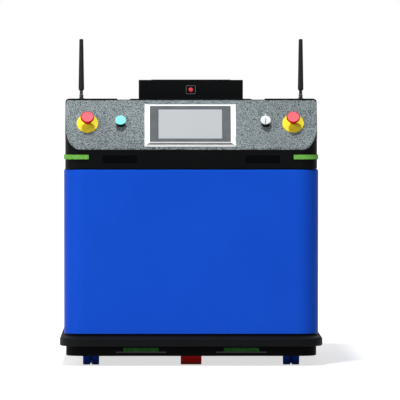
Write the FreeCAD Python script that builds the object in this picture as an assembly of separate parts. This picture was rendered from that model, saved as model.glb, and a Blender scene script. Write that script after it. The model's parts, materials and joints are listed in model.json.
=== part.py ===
import FreeCAD, Part
import math
import os

from FreeCAD import Placement, Rotation, Vector

# Autonomous mobile robot: a four-caster chassis with two steering drive units,
# painted covers, a sloping control console and a pedestal for a robot arm.
# Millimetres. +Z is up, the console end faces -Y, the floor is z = 0 and the
# origin is on the floor below the middle of the body.

# ---------------------------------------------------------------- driving sizes
# Body covers
body_width = 710.0
body_length = 960.0
body_corner_radius = 57.0
shell_height = 457.0
shell_wall = 3.0
shell_edge_radius = 3.5
shell_flange = 35.0
end_cover_length = 160.0
cover_seam = 1.5
vent_count = 9
vent_rows = 2
vent_length = 46.0
vent_height = 5.0
vent_pitch = 14.0
vent_sill = 60.0

# Skirt and bumper
ground_clearance = 28.0
skirt_reveal = 27.2
skirt_inset = 5.5
skirt_wall = 4.0
skirt_flange = 16.0
skirt_bevel = 2.5
bumper_reach = 12.0
bumper_height = 31.3
bumper_gap = 4.0
bumper_lower_radius = 5.0
bumper_upper_radius = 8.0
bumper_face_height = 18.0
notch_inset = 215.0
notch_width = 150.0
notch_height = 10.0
notch_depth = 5.0
notch_slant = 6.0
sill_lamp_width = 98.0
sill_lamp_height = 10.5
sill_lamp_rise = 12.5
sill_lamp_depth = 6.0
sill_lamp_recess = 1.0
sill_block_depth = 16.0

# Floor structure
base_step = 5.0
base_thickness = 6.0
post_width = 30.0
post_inset = 26.0

# Upper housing, deck and console
housing_inset = 3.5
housing_corner_radius = 42.0
housing_wall = 3.0
shadow_gap = 2.5
plinth_inset = 8.0
plinth_width = 18.0
band_height = 54.0
deck_height = 145.0
deck_thickness = 3.0
deck_rim = 22.0
panel_length = 169.5
panel_tilt = 33.8
panel_thickness = 2.5
panel_margin = 1.2
panel_top_margin = 4.2
panel_corner_radius = 9.0
ledge_depth = 55.0
ledge_edge_radius = 10.0
ledge_block_width = 144.5
ledge_block_rise = 2.8
light_height = 12.6
light_rise = 29.0
light_reach = 66.0
light_thickness = 3.5
window_inset = 152.0
window_width = 95.0
window_height = 21.0
window_rise = 18.0
window_recess = 1.5
camera_depth = 24.0

# Touch screen
screen_shift = -2.5
screen_width = 255.0
screen_length = 142.5
screen_base = 9.0
screen_height = 9.5
screen_rim = 3.5
screen_lip = 1.0
screen_side_slope = 15.0
screen_end_slope = 11.5
display_width = 177.0
display_length = 97.0
overlay_thickness = 3.0
can_width = 200.0
can_length = 106.0
can_depth = 26.0

# Switches on the panel
switch_row = 87.0
switch_hole_radius = 11.15
switch_collar_radius = 14.5
switch_block_depth = 42.0
switch_chamfer = 1.0
switch_floor = 2.0
estop_inset = 64.5
estop_disc_radius = 30.0
estop_disc_thickness = 3.0
estop_collar_height = 6.0
estop_head_radius = 19.5
estop_head_height = 21.0
estop_head_round = 2.5
estop_brim_height = 14.0
estop_neck_radius = 12.5
estop_neck_length = 4.0
estop_travel = 5.0
estop_stem_radius = 7.0
estop_pin_radius = 5.0
start_offset = 92.5
start_collar_height = 17.0
start_lens_radius = 10.5
start_lens_proud = 1.5
start_lens_round = 1.5
start_travel = 2.5
key_offset = 77.0
key_collar_height = 17.0
key_barrel_radius = 9.0
key_thickness = 2.2
key_width = 21.0
key_reach = 19.0
key_blade_width = 9.9
key_neck = 4.0
key_shoulder = 2.0
key_corner = 4.0
bezel_height = 3.0

# Antennas
antenna_inset = 44.0
antenna_collar_radius = 5.6
antenna_collar_height = 11.0
antenna_stud_radius = 3.2
antenna_nut = 1.5
antenna_roof = 4.0
antenna_tongue = 3.2
antenna_pin_radius = 1.2
antenna_neck_radius = 4.5
antenna_fold_height = 16.3
antenna_blade_start = 21.0
antenna_blade_length = 146.0
antenna_root_radius = 7.8
antenna_root_flare = 5.0
antenna_root_length = 12.0
antenna_tip_radius = 5.6
antenna_tip_round = 4.0

# Arm pedestal
pedestal_y = -120.0
pedestal_base_size = 344.0
pedestal_base_height = 48.0
pedestal_size = 294.0
pedestal_height = 54.0
pedestal_wall = 4.0
pedestal_corner = 6.0
pedestal_edge = 2.0
arm_plate_size = 222.0
arm_plate_thickness = 12.0
arm_plate_proud = 1.0
arm_plate_ledge = 12.0
arm_plate_corner = 4.0
arm_bolt_circle = 132.0
arm_bolt_radius = 3.4
arm_bolt_count = 4
beacon_width = 27.0
beacon_height = 24.0
beacon_drop = 28.0
beacon_corner = 4.0
beacon_plate = 1.5
beacon_lens_radius = 7.0
beacon_lens_wall = 1.0
beacon_lens_crown = 2.5

# Casters
caster_inset = 75.0
caster_trail = 20.0
caster_wheel_radius = 37.5
caster_wheel_width = 20.4
caster_gap = 4.0
caster_shoulder = 1.2
caster_axle_radius = 5.0
caster_boss_wall = 5.0
caster_hub_wall = 6.0
caster_dish_width = 8.0
caster_dish_depth = 3.0
caster_dish_flare = 4.0
caster_plate_size = 84.0
caster_plate_thickness = 4.0
caster_plate_corner = 8.0
caster_wheel_room = 2.0
caster_housing_radius = 24.0
caster_hood_height = 9.0
caster_hood_taper = 4.0
caster_edge = 2.0
kingpin_radius = 6.0

# Steering drive units
drive_inset = 103.0
drive_wheel_radius = 75.0
drive_wheel_width = 58.0
drive_tread = 16.0
drive_tread_edge = 2.0
drive_rim_wall = 8.0
drive_hub_wall = 14.0
drive_web_width = 40.0
drive_axle_radius = 10.0
fork_gap = 3.0
fork_cheek = 10.0
fork_gearcase = 18.0
fork_boss_radius = 24.0
fork_gearcase_swell = 6.0
fork_taper = 0.8
turret_wall = 6.0
turret_flange = 8.0
turret_lid = 8.0
turret_chamfer = 4.0
slew_radius = 62.0
slew_lip = 8.0
wheel_headroom = 4.0
gear_module = 3.0
gear_width = 12.0
ring_teeth = 50
pinion_teeth = 15
gear_backlash = 0.3
gear_lift = 2.0
drive_motor_radius = 42.0
drive_motor_height = 128.0
drive_motor_flange = 3.0
drive_flange_height = 10.0
drive_brake_height = 34.0
drive_brake_step = 8.0
drive_brake_edge = 3.0
terminal_width = 44.0
terminal_height = 56.0
terminal_reach = 14.0
steer_motor_size = 60.0
steer_motor_height = 82.0
steer_motor_corner = 5.0
steer_encoder_inset = 6.0
steer_encoder_height = 16.0
steer_bracket_thickness = 6.0
steer_bracket_gap = 2.0
steer_leg_width = 12.0
steer_leg_depth = 16.0
steer_foot_length = 28.0
steer_pinion_room = 3.0
steer_shaft_radius = 7.0

# Inner equipment
battery_length = 300.0
battery_height = 180.0
battery_gap = 20.0
battery_edge = 8.0
computer_size = (84.0, 280.0, 200.0)
driver_size = (84.0, 130.0, 170.0)
driver_gap = 16.0
equipment_inset = 93.0
equipment_corner = 4.0
contact_pad_edge = 2.0
contact_pad_width = 170.0
contact_pad_height = 70.0
contact_pad_depth = 8.0
contact_bar_width = 130.0
contact_bar_height = 14.0
contact_bar_depth = 5.0
contact_rise = 90.0

# Clearances
seat_gap = 0.3
running_fit = 0.06
slide_fit = 0.08
axial_play = 0.25

# Cutting tools run this far past a face, and joined blocks reach this far into each other.
past = 1.0

# Two lengths closer than this are the same.
tiny = 0.001

# ---------------------------------------------------------------- worked-out places
z_skirt = ground_clearance
z_bumper = z_skirt + skirt_reveal
z_bumper_top = z_bumper + bumper_height
z_shell = z_bumper_top + bumper_gap
z_shell_top = z_shell + shell_height
z_base = z_shell + base_step
z_floor = z_base + base_thickness
z_band = z_shell_top + shadow_gap
z_fold = z_shell_top + band_height
z_deck = z_shell_top + deck_height
z_deck_top = z_deck + deck_thickness

# A plan outline is (width, length, corner radius).
body_outline = (body_width, body_length, body_corner_radius)


def grown(outline, reach):
    """Plan outline moved outwards by reach all round (inwards when negative)."""
    width, length, radius = outline
    return (width + 2 * reach, length + 2 * reach, radius + reach)


skirt_outline = grown(body_outline, -skirt_inset)
housing_outline = (body_width - 2 * housing_inset, body_length - 2 * housing_inset, housing_corner_radius)

side_panel_length = body_length - 2 * end_cover_length
notch_centre = body_width / 2 - notch_inset
caster_x = body_width / 2 - caster_inset
caster_y = body_length / 2 - caster_inset
drive_y = body_length / 2 - drive_inset
equipment_x = body_width / 2 - equipment_inset
battery_width = 2 * (equipment_x - computer_size[0] / 2 - battery_gap)

# Places along X on the console, tied to its sides.
housing_half = housing_outline[0] / 2
estop_x = housing_half - estop_inset
start_x = screen_shift - estop_x + start_offset
key_x = screen_shift + estop_x - key_offset
antenna_x = housing_half - antenna_inset
window_x = housing_half - window_inset
ledge_recess_width = housing_outline[0] - 2 * ledge_block_width

tilt = math.radians(panel_tilt)
y_front = -housing_outline[1] / 2
y_ridge = y_front + panel_length * math.sin(tilt)
z_ridge = z_fold + panel_length * math.cos(tilt)
y_back = y_ridge + ledge_depth
z_block = z_ridge + ledge_block_rise
y_block = y_ridge + ledge_block_rise * math.tan(tilt)
y_split = y_back + deck_rim

# The panel frame: local x is X, local y runs up the slope, local z is its normal.
panel_place = Placement(Vector(0, y_front, z_fold), Rotation(Vector(1, 0, 0), 90 - panel_tilt))
panel_top = panel_thickness

z_pedestal = z_deck_top + pedestal_base_height
z_pedestal_top = z_pedestal + pedestal_height
z_arm_plate = z_pedestal_top + arm_plate_proud - arm_plate_thickness
y_pedestal_face = pedestal_y - pedestal_size / 2

z_turret = 2 * drive_wheel_radius + wheel_headroom
z_turret_top = z_turret + slew_lip + turret_lid
z_gear = z_turret_top + gear_lift
z_gear_top = z_gear + gear_width
turret_bore = math.hypot(drive_wheel_radius, drive_wheel_width / 2) + wheel_headroom
gear_distance = gear_module * (ring_teeth + pinion_teeth) / 2


# ---------------------------------------------------------------- building tools
def box(x0, x1, y0, y1, z0, z1):
    """Box between two corners."""
    return Part.makeBox(x1 - x0, y1 - y0, z1 - z0, Vector(x0, y0, z0))


def cylinder(radius, z0, z1, x=0.0, y=0.0):
    """Upright cylinder."""
    return Part.makeCylinder(radius, z1 - z0, Vector(x, y, z0))


def rod_x(radius, x0, x1, y, z):
    """Cylinder lying along X."""
    return Part.makeCylinder(radius, x1 - x0, Vector(x0, y, z), Vector(1, 0, 0))


def polygon(points):
    """Closed face through a list of vectors."""
    return Part.Face(Part.makePolygon(points + [points[0]]))


def side_profile(points, x0, x1):
    """Solid with the (y, z) outline given, from x0 to x1."""
    return polygon([Vector(x0, y, z) for y, z in points]).extrude(Vector(x1 - x0, 0, 0))


def front_profile(points, y0, y1):
    """Solid with the (x, z) outline given, from y0 to y1."""
    return polygon([Vector(x, y0, z) for x, z in points]).extrude(Vector(0, y1 - y0, 0))


def turned(points):
    """Solid of revolution about Z of the closed (radius, z) outline."""
    return polygon([Vector(r, 0, z) for r, z in points]).revolve(Vector(), Vector(0, 0, 1), 360)


def plan_face(outline, z=0.0):
    """Face of a rounded rectangle at height z."""
    width, length, radius = outline
    x = width / 2 - radius
    y = length / 2 - radius
    arcs = []
    for turn, (cx, cy) in enumerate(((x, y), (-x, y), (-x, -y), (x, -y))):
        ends = [math.radians(90 * turn + step) for step in (0, 45, 90)]
        arcs.append([Vector(cx + radius * math.cos(a), cy + radius * math.sin(a), z) for a in ends])
    edges = []
    for turn, arc in enumerate(arcs):
        edges.append(Part.Arc(*arc).toShape())
        following = arcs[(turn + 1) % 4][0]
        if arc[2].distanceToPoint(following) > tiny:
            edges.append(Part.makeLine(arc[2], following))
    return Part.Face(Part.Wire(edges))


def is_upright(edge):
    """True for a straight edge along Z."""
    ends = [vertex.Point for vertex in edge.Vertexes]
    return len(ends) == 2 and math.hypot(ends[0].x - ends[1].x, ends[0].y - ends[1].y) < tiny


def slab(outline, z0, z1):
    """Rounded rectangle from z0 to z1."""
    return plan_face(outline, z0).extrude(Vector(0, 0, z1 - z0))


def rounded(solid, radius, chosen):
    """Solid with a fillet on the edges that chosen(edge) picks."""
    return solid.makeFillet(radius, [edge for edge in solid.Edges if chosen(edge)])


def rounded_block(width, length, height, radius, centre):
    """Block with rounded upright edges, standing on centre."""
    block = slab((width, length, radius), 0, height)
    return block.translated(centre)


def fused(solids):
    """One solid from touching or overlapping ones."""
    return solids[0].multiFuse(solids[1:]).removeSplitter()


def half_turn(shape):
    """Copy turned by 180 degrees about the upright axis through the origin."""
    copy = shape.copy()
    copy.rotate(Vector(), Vector(0, 0, 1), 180)
    return copy


def mirrored_x(shape):
    """Mirror image across the middle plane x = 0."""
    return shape.mirror(Vector(), Vector(1, 0, 0))


def on_panel(shape, x=0.0, along=0.0):
    """Shape drawn flat about its own axis, set on the sloping panel."""
    copy = shape.copy()
    copy.translate(Vector(x, along, 0))
    copy.Placement = panel_place.multiply(copy.Placement)
    return copy


def save(node, *solids):
    """Write one node of one or more separate solids."""
    shape = solids[0] if len(solids) == 1 else Part.makeCompound(list(solids))
    shape.exportStep("parts/" + node + ".step")


# ---------------------------------------------------------------- covers round the body
# A cover section is a closed wire of (reach, z) drawn outwards from a plan outline.
def section_face(outline, steps):
    """Section face at the +X end of a corner, its edges lines or arcs."""
    radius = outline[2]
    edges = []
    for step in steps:
        points = [Vector(radius + reach, 0, z) for reach, z in step]
        if len(points) == 3:
            edges.append(Part.Arc(*points).toShape())
        else:
            edges.append(Part.makeLine(*points))
    return Part.Face(Part.Wire(edges))


def lines(points):
    """Closed run of straight section steps."""
    return [[points[i], points[(i + 1) % len(points)]] for i in range(len(points))]


def corner_cover(outline, steps, side_reach, end_reach):
    """Section carried round the -Y +X corner, with straight runs on either hand."""
    width, length, radius = outline
    centre = Vector(width / 2 - radius, radius - length / 2, 0)
    face = section_face(outline, steps).translated(centre)
    side = face.extrude(Vector(0, side_reach, 0))
    face.rotate(centre, Vector(0, 0, 1), -90)
    bend = face.revolve(centre, Vector(0, 0, 1), 90)
    end = face.extrude(Vector(-end_reach, 0, 0))
    return fused([side, bend, end])


def end_cover(outline, steps, y_end):
    """U-shaped cover round the -Y end, its two arms ending at -y_end."""
    width, length, radius = outline
    right = corner_cover(outline, steps, length / 2 - radius - y_end, width / 2 - radius)
    return fused([right, mirrored_x(right)])


def side_cover(outline, steps, half_length):
    """Straight cover on the +X side."""
    width, length, radius = outline
    face = section_face(outline, steps)
    return face.translated(Vector(width / 2 - radius, -half_length, 0)).extrude(Vector(0, 2 * half_length, 0))


def arc_step(centre, radius, start, end):
    """Section arc by its centre, radius and start and end angles in degrees."""
    angles = [start, (start + end) / 2, end]
    return [(centre[0] + radius * math.cos(math.radians(a)), centre[1] + radius * math.sin(math.radians(a)))
            for a in angles]


def shell_section():
    """Painted cover: a thin wall with a rounded top edge and a flange turned in."""
    r = shell_edge_radius
    top = arc_step((-r, z_shell_top - r), r, 0, 90)
    flange_z = z_shell_top - shell_wall
    return [
        [(0, z_shell), top[0]],
        top,
        [top[2], (-shell_flange, z_shell_top)],
        [(-shell_flange, z_shell_top), (-shell_flange, flange_z)],
        [(-shell_flange, flange_z), (-shell_wall, flange_z)],
        [(-shell_wall, flange_z), (-shell_wall, z_shell)],
        [(-shell_wall, z_shell), (0, z_shell)],
    ]


def skirt_section():
    """Skirt: bevelled lower edge, thin wall and a flange under the floor plate."""
    flange_z = z_base - skirt_wall
    return lines([
        (-skirt_bevel, z_skirt),
        (0, z_skirt + skirt_bevel),
        (0, z_base),
        (-skirt_flange, z_base),
        (-skirt_flange, flange_z),
        (-skirt_wall, flange_z),
        (-skirt_wall, z_skirt),
    ])


def bumper_section():
    """Rubber bumper: small lower round, upright face, upper round, top sloping off it."""
    reach = skirt_inset + bumper_reach
    low = bumper_lower_radius
    high = bumper_upper_radius
    face_top = z_bumper + bumper_face_height
    run = seat_gap - (reach - high)
    rise = z_bumper_top - face_top
    tangent = math.atan2(rise, run) - math.acos(high / math.hypot(run, rise))
    lower = arc_step((reach - low, z_bumper + low), low, -90, 0)
    upper = arc_step((reach - high, face_top), high, 0, math.degrees(tangent))
    return [
        [(seat_gap, z_bumper), lower[0]],
        lower,
        [lower[2], upper[0]],
        upper,
        [upper[2], (seat_gap, z_bumper_top)],
        [(seat_gap, z_bumper_top), (seat_gap, z_bumper)],
    ]


def make_shells():
    """Blue covers: a U at each end and a louvred service panel on each side."""
    steps = shell_section()
    front = end_cover(body_outline, steps, side_panel_length / 2 + cover_seam)
    side = side_cover(body_outline, steps, side_panel_length / 2)
    side = side.cut(Part.makeCompound(vent_slots()))
    save("front_shell", front)
    save("rear_shell", half_turn(front))
    save("side_panels", side, half_turn(side))


def vent_slots():
    """Round-ended cooling slots low in the side panel."""
    slots = []
    x = body_width / 2
    row_pitch = vent_length + vent_pitch
    for row in range(vent_rows):
        y = (row - (vent_rows - 1) / 2) * row_pitch
        for index in range(vent_count):
            z = z_shell + vent_sill + index * vent_pitch
            slot = slab((vent_length, vent_height, vent_height / 2), 0, 3 * shell_wall)
            slot.rotate(Vector(), Vector(0, 0, 1), 90)
            slot.rotate(Vector(), Vector(0, 1, 0), 90)
            slots.append(slot.translated(Vector(x - 2 * shell_wall, y, z)))
    return slots


def make_skirts():
    """Black skirt in three runs; the front run carries two sill lamps over notches."""
    steps = skirt_section()
    end = end_cover(skirt_outline, steps, side_panel_length / 2 + cover_seam)
    side = side_cover(skirt_outline, steps, side_panel_length / 2)
    front = end.copy()
    lamps = []
    face_y = -skirt_outline[1] / 2
    for centre in (-notch_centre, notch_centre):
        half = notch_width / 2 + skirt_wall
        block = box(centre - half, centre + half, face_y + skirt_wall / 2, face_y + sill_block_depth,
                    z_skirt, z_bumper)
        front = front.fuse(block)
        front = front.cut(notch_cutter(centre, face_y))
        lamp_z = z_skirt + sill_lamp_rise
        wide = sill_lamp_width / 2
        deep = face_y + sill_lamp_recess + sill_lamp_depth
        front = front.cut(box(centre - wide - seat_gap, centre + wide + seat_gap, face_y - past, deep,
                              lamp_z - seat_gap, lamp_z + sill_lamp_height + seat_gap))
        lamps.append(box(centre - wide, centre + wide, face_y + sill_lamp_recess, deep, lamp_z,
                         lamp_z + sill_lamp_height))
    save("front_skirt", front.removeSplitter())
    save("rear_skirt", half_turn(end))
    save("side_skirts", side, half_turn(side))
    save("sill_lamps", *lamps)


def notch_cutter(centre, face_y):
    """Shallow notch with slanted ends and a bevelled brow, open at the lower edge."""
    def outline(spread, y):
        low = notch_width / 2 + spread
        high = low - notch_slant
        top = z_skirt + notch_height + spread
        return Part.makePolygon([Vector(centre - low, y, z_skirt - past), Vector(centre - high, y, top),
                                 Vector(centre + high, y, top), Vector(centre + low, y, z_skirt - past),
                                 Vector(centre - low, y, z_skirt - past)])
    brow = Part.makeLoft([outline(skirt_bevel, face_y), outline(0, face_y + skirt_bevel)], True, True)
    recess = Part.Face(outline(0, face_y - past)).extrude(Vector(0, notch_depth + past, 0))
    return brow.fuse(recess)


def make_bumpers():
    """Rubber bumper in two U-shaped halves that meet in the middle of each side."""
    front = end_cover(skirt_outline, bumper_section(), cover_seam / 2)
    save("front_bumper", front)
    save("rear_bumper", half_turn(front))


# ---------------------------------------------------------------- floor and frame
def make_floor():
    """Steel floor plate with the two turret holes, and the tube frame on it."""
    plate = slab(grown(body_outline, -shell_wall - seat_gap), z_base, z_floor)
    for y in (-drive_y, drive_y):
        plate = plate.cut(cylinder(turret_bore, z_base - past, z_floor + past, 0, y))
    save("base_plate", plate)

    post_x = body_width / 2 - post_inset - post_width / 2
    post_y = body_length / 2 - post_inset - post_width / 2
    half = post_width / 2
    rail_z = z_shell_top - shell_wall
    pieces = []
    for x in (-post_x, post_x):
        for y in (-post_y, post_y):
            pieces.append(box(x - half, x + half, y - half, y + half, z_floor, rail_z - post_width))
        pieces.append(box(x - half, x + half, -post_y - half, post_y + half, rail_z - post_width, rail_z))
    for y in (-post_y, post_y):
        pieces.append(box(-post_x + half, post_x - half, y - half, y + half, rail_z - post_width, rail_z))
    save("body_frame", *pieces)


# ---------------------------------------------------------------- upper housing
def housing_profile(wall):
    """Side outline of the housing and console, moved inwards by wall."""
    slope_shift = wall / math.cos(tilt)
    ridge_z = z_block - wall
    front_y = y_front + wall
    fold_z = z_fold - slope_shift + wall / math.tan(tilt)
    ridge_y = front_y + (ridge_z - fold_z) * math.tan(tilt)
    foot_z = z_band - past if wall else z_band
    return [
        (front_y, foot_z),
        (front_y, fold_z),
        (ridge_y, ridge_z),
        (y_back - wall, ridge_z),
        (y_back - wall, z_deck - wall),
        (-front_y, z_deck - wall),
        (-front_y, foot_z),
    ]


def housing_block(wall):
    """Closed body of the housing, moved inwards by wall."""
    outline = grown(housing_outline, -wall)
    width = outline[0]
    body = side_profile(housing_profile(wall), -width / 2, width / 2)
    return body.common(slab(outline, z_band - 2 * past, z_block + past))


def ledge_recess(wall):
    """Space over the middle of the ridge and sunk behind it, grown by wall."""
    half = ledge_recess_width / 2 + wall
    front = y_ridge + 2 * housing_wall - wall
    far = y_back + past - wall
    sunk = box(-half, half, front, far, z_deck - wall, z_block + past)
    return sunk.fuse(box(-half, half, y_front, far, z_ridge - wall, z_block + past))


def make_housing():
    """Black upper housing, split behind the console into a front and a rear part."""
    outer = housing_block(0).cut(ledge_recess(0))

    def on_ledge_side(edge):
        middle = edge.CenterOfMass
        on_side = abs(abs(middle.x) - housing_half) < tiny and abs(middle.z - z_block) < tiny
        return on_side and abs(middle.y - (y_block + y_back) / 2) < past
    outer = rounded(outer, ledge_edge_radius, on_ledge_side)
    inner = housing_block(housing_wall).cut(ledge_recess(housing_wall))
    hollow = outer.cut(inner)

    foot_in = plinth_inset + plinth_width
    foot = slab(housing_outline, z_band, z_band + housing_wall)
    foot = foot.fuse(slab(grown(housing_outline, -plinth_inset), z_shell_top, z_band))
    foot = foot.cut(slab(grown(housing_outline, -foot_in), z_shell_top - past,
                         z_band + housing_wall + past))
    hollow = hollow.fuse(foot)
    opening = slab(grown(housing_outline, -deck_rim), z_deck - housing_wall - past, z_deck + past)
    opening = opening.common(box(-body_width, body_width, y_split, body_length, 0, z_ridge))
    hollow = hollow.cut(opening)
    for tool in window_cutters() + panel_cutters():
        hollow = hollow.cut(tool)
    hollow = hollow.removeSplitter()

    gap = cover_seam / 2
    far = body_length
    save("console_housing", hollow.common(box(-far, far, -far, y_split - gap, 0, 2 * far)))
    save("rear_housing", hollow.common(box(-far, far, y_split + gap, far, 0, 2 * far)))

    deck = slab(housing_outline, z_deck, z_deck_top)
    deck = deck.common(box(-far, far, y_back + seat_gap, far, 0, 2 * far))
    save("deck_plate", deck)


def window_boxes(spread, y0, y1):
    """Blocks through the band at the two camera windows."""
    z0 = z_shell_top + window_rise
    half = window_width / 2 + spread
    return [box(x - half, x + half, y0, y1, z0 - spread, z0 + window_height + spread)
            for x in (-window_x, window_x)]


def window_cutters():
    """Holes in the band for the camera windows."""
    return window_boxes(seat_gap, y_front - past, y_front + housing_wall + past)


def panel_cutters():
    """Holes in the slope for the switches and the screen's can."""
    depth = 4 * housing_wall
    bore = cylinder(switch_hole_radius, -depth, panel_top + past)
    tools = [on_panel(bore, x, switch_row) for x in switch_places()]
    can_middle = screen_base + screen_length / 2
    half_x = can_width / 2 + seat_gap
    half_y = can_length / 2 + seat_gap
    can = box(-half_x, half_x, -half_y, half_y, -depth, panel_top + past)
    return tools + [on_panel(can, screen_shift, can_middle)]


def switch_places():
    """Places of the four panel switches along X."""
    return [screen_shift - estop_x, screen_shift + estop_x, start_x, key_x]


def make_housing_trim():
    """Control panel, corner lights, camera windows and the cameras behind them."""
    margin = panel_margin
    top = panel_length - panel_top_margin
    slope = box(-body_width, body_width, margin, top, 0, panel_thickness)
    plate = on_panel(slope).common(slab(grown(housing_outline, -margin), z_band, z_ridge + panel_length))
    for tool in panel_cutters():
        plate = plate.cut(tool)
    inner = panel_place.inverse()

    def on_top_corner(edge):
        ends = [inner.multVec(vertex.Point) for vertex in edge.Vertexes]
        at_corner = all(end.y > top - past and abs(end.x) > body_width / 3 for end in ends)
        return len(ends) == 2 and at_corner and abs(ends[0].z - ends[1].z) > panel_thickness / 2
    plate = rounded(plate, panel_corner_radius, on_top_corner)
    save("control_panel", plate)

    z0 = z_shell_top + light_rise
    strip = lines([(seat_gap, z0), (light_thickness, z0), (light_thickness, z0 + light_height),
                   (seat_gap, z0 + light_height)])
    run = light_reach - housing_corner_radius
    near = corner_cover(housing_outline, strip, run, run)
    far = mirrored_x(near)
    save("corner_lights", near, far, half_turn(near), half_turn(far))

    cameras = window_boxes(0, y_front + window_recess, y_front + housing_wall)
    back_y = y_front + housing_wall + seat_gap
    for body in window_boxes(housing_wall, back_y, back_y + camera_depth):
        cameras.append(rounded(body, housing_wall, is_upright))
    save("camera_units", *cameras)


# ---------------------------------------------------------------- panel devices
def make_screen():
    """Panel screen: sloping bezel, grey overlay and the display with its rear can."""
    z0 = panel_top
    z1 = panel_top + screen_height
    middle = screen_base + screen_length / 2
    inner_x = screen_width / 2 - screen_side_slope
    inner_y = screen_length / 2 - screen_end_slope

    def ring(half_x, half_y, z):
        return Part.makePolygon([Vector(-half_x, -half_y, z), Vector(half_x, -half_y, z),
                                 Vector(half_x, half_y, z), Vector(-half_x, half_y, z),
                                 Vector(-half_x, -half_y, z)])
    rim = Part.Face(ring(screen_width / 2, screen_length / 2, z0)).extrude(Vector(0, 0, screen_rim))
    cone = Part.makeLoft([ring(screen_width / 2, screen_length / 2, z0 + screen_rim),
                          ring(inner_x + screen_lip, inner_y + screen_lip, z1)], True, True)
    bezel = rim.fuse(cone).removeSplitter()
    bezel = bezel.cut(box(-inner_x, inner_x, -inner_y, inner_y, z0 - past, z1 + past))
    save("screen_bezel", on_panel(bezel, screen_shift, middle))

    overlay_z = z1 - seat_gap - overlay_thickness
    edge = seat_gap
    overlay = box(-inner_x + edge, inner_x - edge, -inner_y + edge, inner_y - edge, overlay_z,
                  overlay_z + overlay_thickness)
    half_x = display_width / 2
    half_y = display_length / 2
    overlay = overlay.cut(box(-half_x - edge, half_x + edge, -half_y - edge, half_y + edge, 0, z1))
    save("screen_overlay", on_panel(overlay, screen_shift, middle))

    display = box(-half_x, half_x, -half_y, half_y, overlay_z - past, overlay_z + overlay_thickness - edge)
    tray = box(-inner_x + edge, inner_x - edge, -inner_y + edge, inner_y - edge, z0, overlay_z)
    can = box(-can_width / 2, can_width / 2, -can_length / 2, can_length / 2, -can_depth, z0 + past)
    save("display_unit", on_panel(fused([display, tray, can]), screen_shift, middle))


def make_estops():
    """Emergency stops: yellow disc, fixed collar and block, sliding stem, twisting head."""
    z0 = panel_top
    disc_top = z0 + estop_disc_thickness
    collar_top = disc_top + estop_collar_height
    disc = cylinder(estop_disc_radius, z0, disc_top)
    disc = disc.cut(cylinder(switch_hole_radius, z0 - past, disc_top + past))
    bore = estop_stem_radius + slide_fit
    barrel = switch_hole_radius - seat_gap / 2
    floor = -switch_block_depth / 2
    body = turned([
        (0, -switch_block_depth), (barrel, -switch_block_depth), (barrel, disc_top),
        (switch_collar_radius, disc_top), (switch_collar_radius, collar_top - switch_chamfer),
        (switch_collar_radius - switch_chamfer, collar_top), (bore, collar_top), (bore, floor), (0, floor),
    ])
    head_z = collar_top + estop_travel + seat_gap
    head_top = head_z + estop_head_height
    pin_top = head_top - 4 * seat_gap - estop_travel
    stem = turned([
        (0, floor + estop_travel + seat_gap), (estop_stem_radius, floor + estop_travel + seat_gap),
        (estop_stem_radius, head_z - seat_gap), (estop_pin_radius, head_z - seat_gap),
        (estop_pin_radius, pin_top), (0, pin_top),
    ])
    pin_bore = estop_pin_radius + running_fit
    brim_z = head_z + estop_brim_height
    head = turned([
        (pin_bore, head_z), (estop_neck_radius, head_z),
        (estop_neck_radius + switch_chamfer, head_z + estop_neck_length),
        (estop_head_radius - switch_chamfer, brim_z), (estop_head_radius, brim_z + 2 * switch_chamfer),
        (estop_head_radius, head_top - estop_head_round), (estop_head_radius - estop_head_round, head_top),
        (0, head_top), (0, pin_top + seat_gap), (pin_bore, pin_top + seat_gap),
    ])
    discs = []
    bodies = []
    for side, x in zip(("left", "right"), switch_places()[:2]):
        discs.append(on_panel(disc, x, switch_row))
        bodies.append(on_panel(body, x, switch_row))
        save("estop_stem_" + side, on_panel(stem, x, switch_row))
        save("estop_head_" + side, on_panel(head, x, switch_row))
    save("estop_discs", *discs)
    save("estop_bodies", *bodies)


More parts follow.
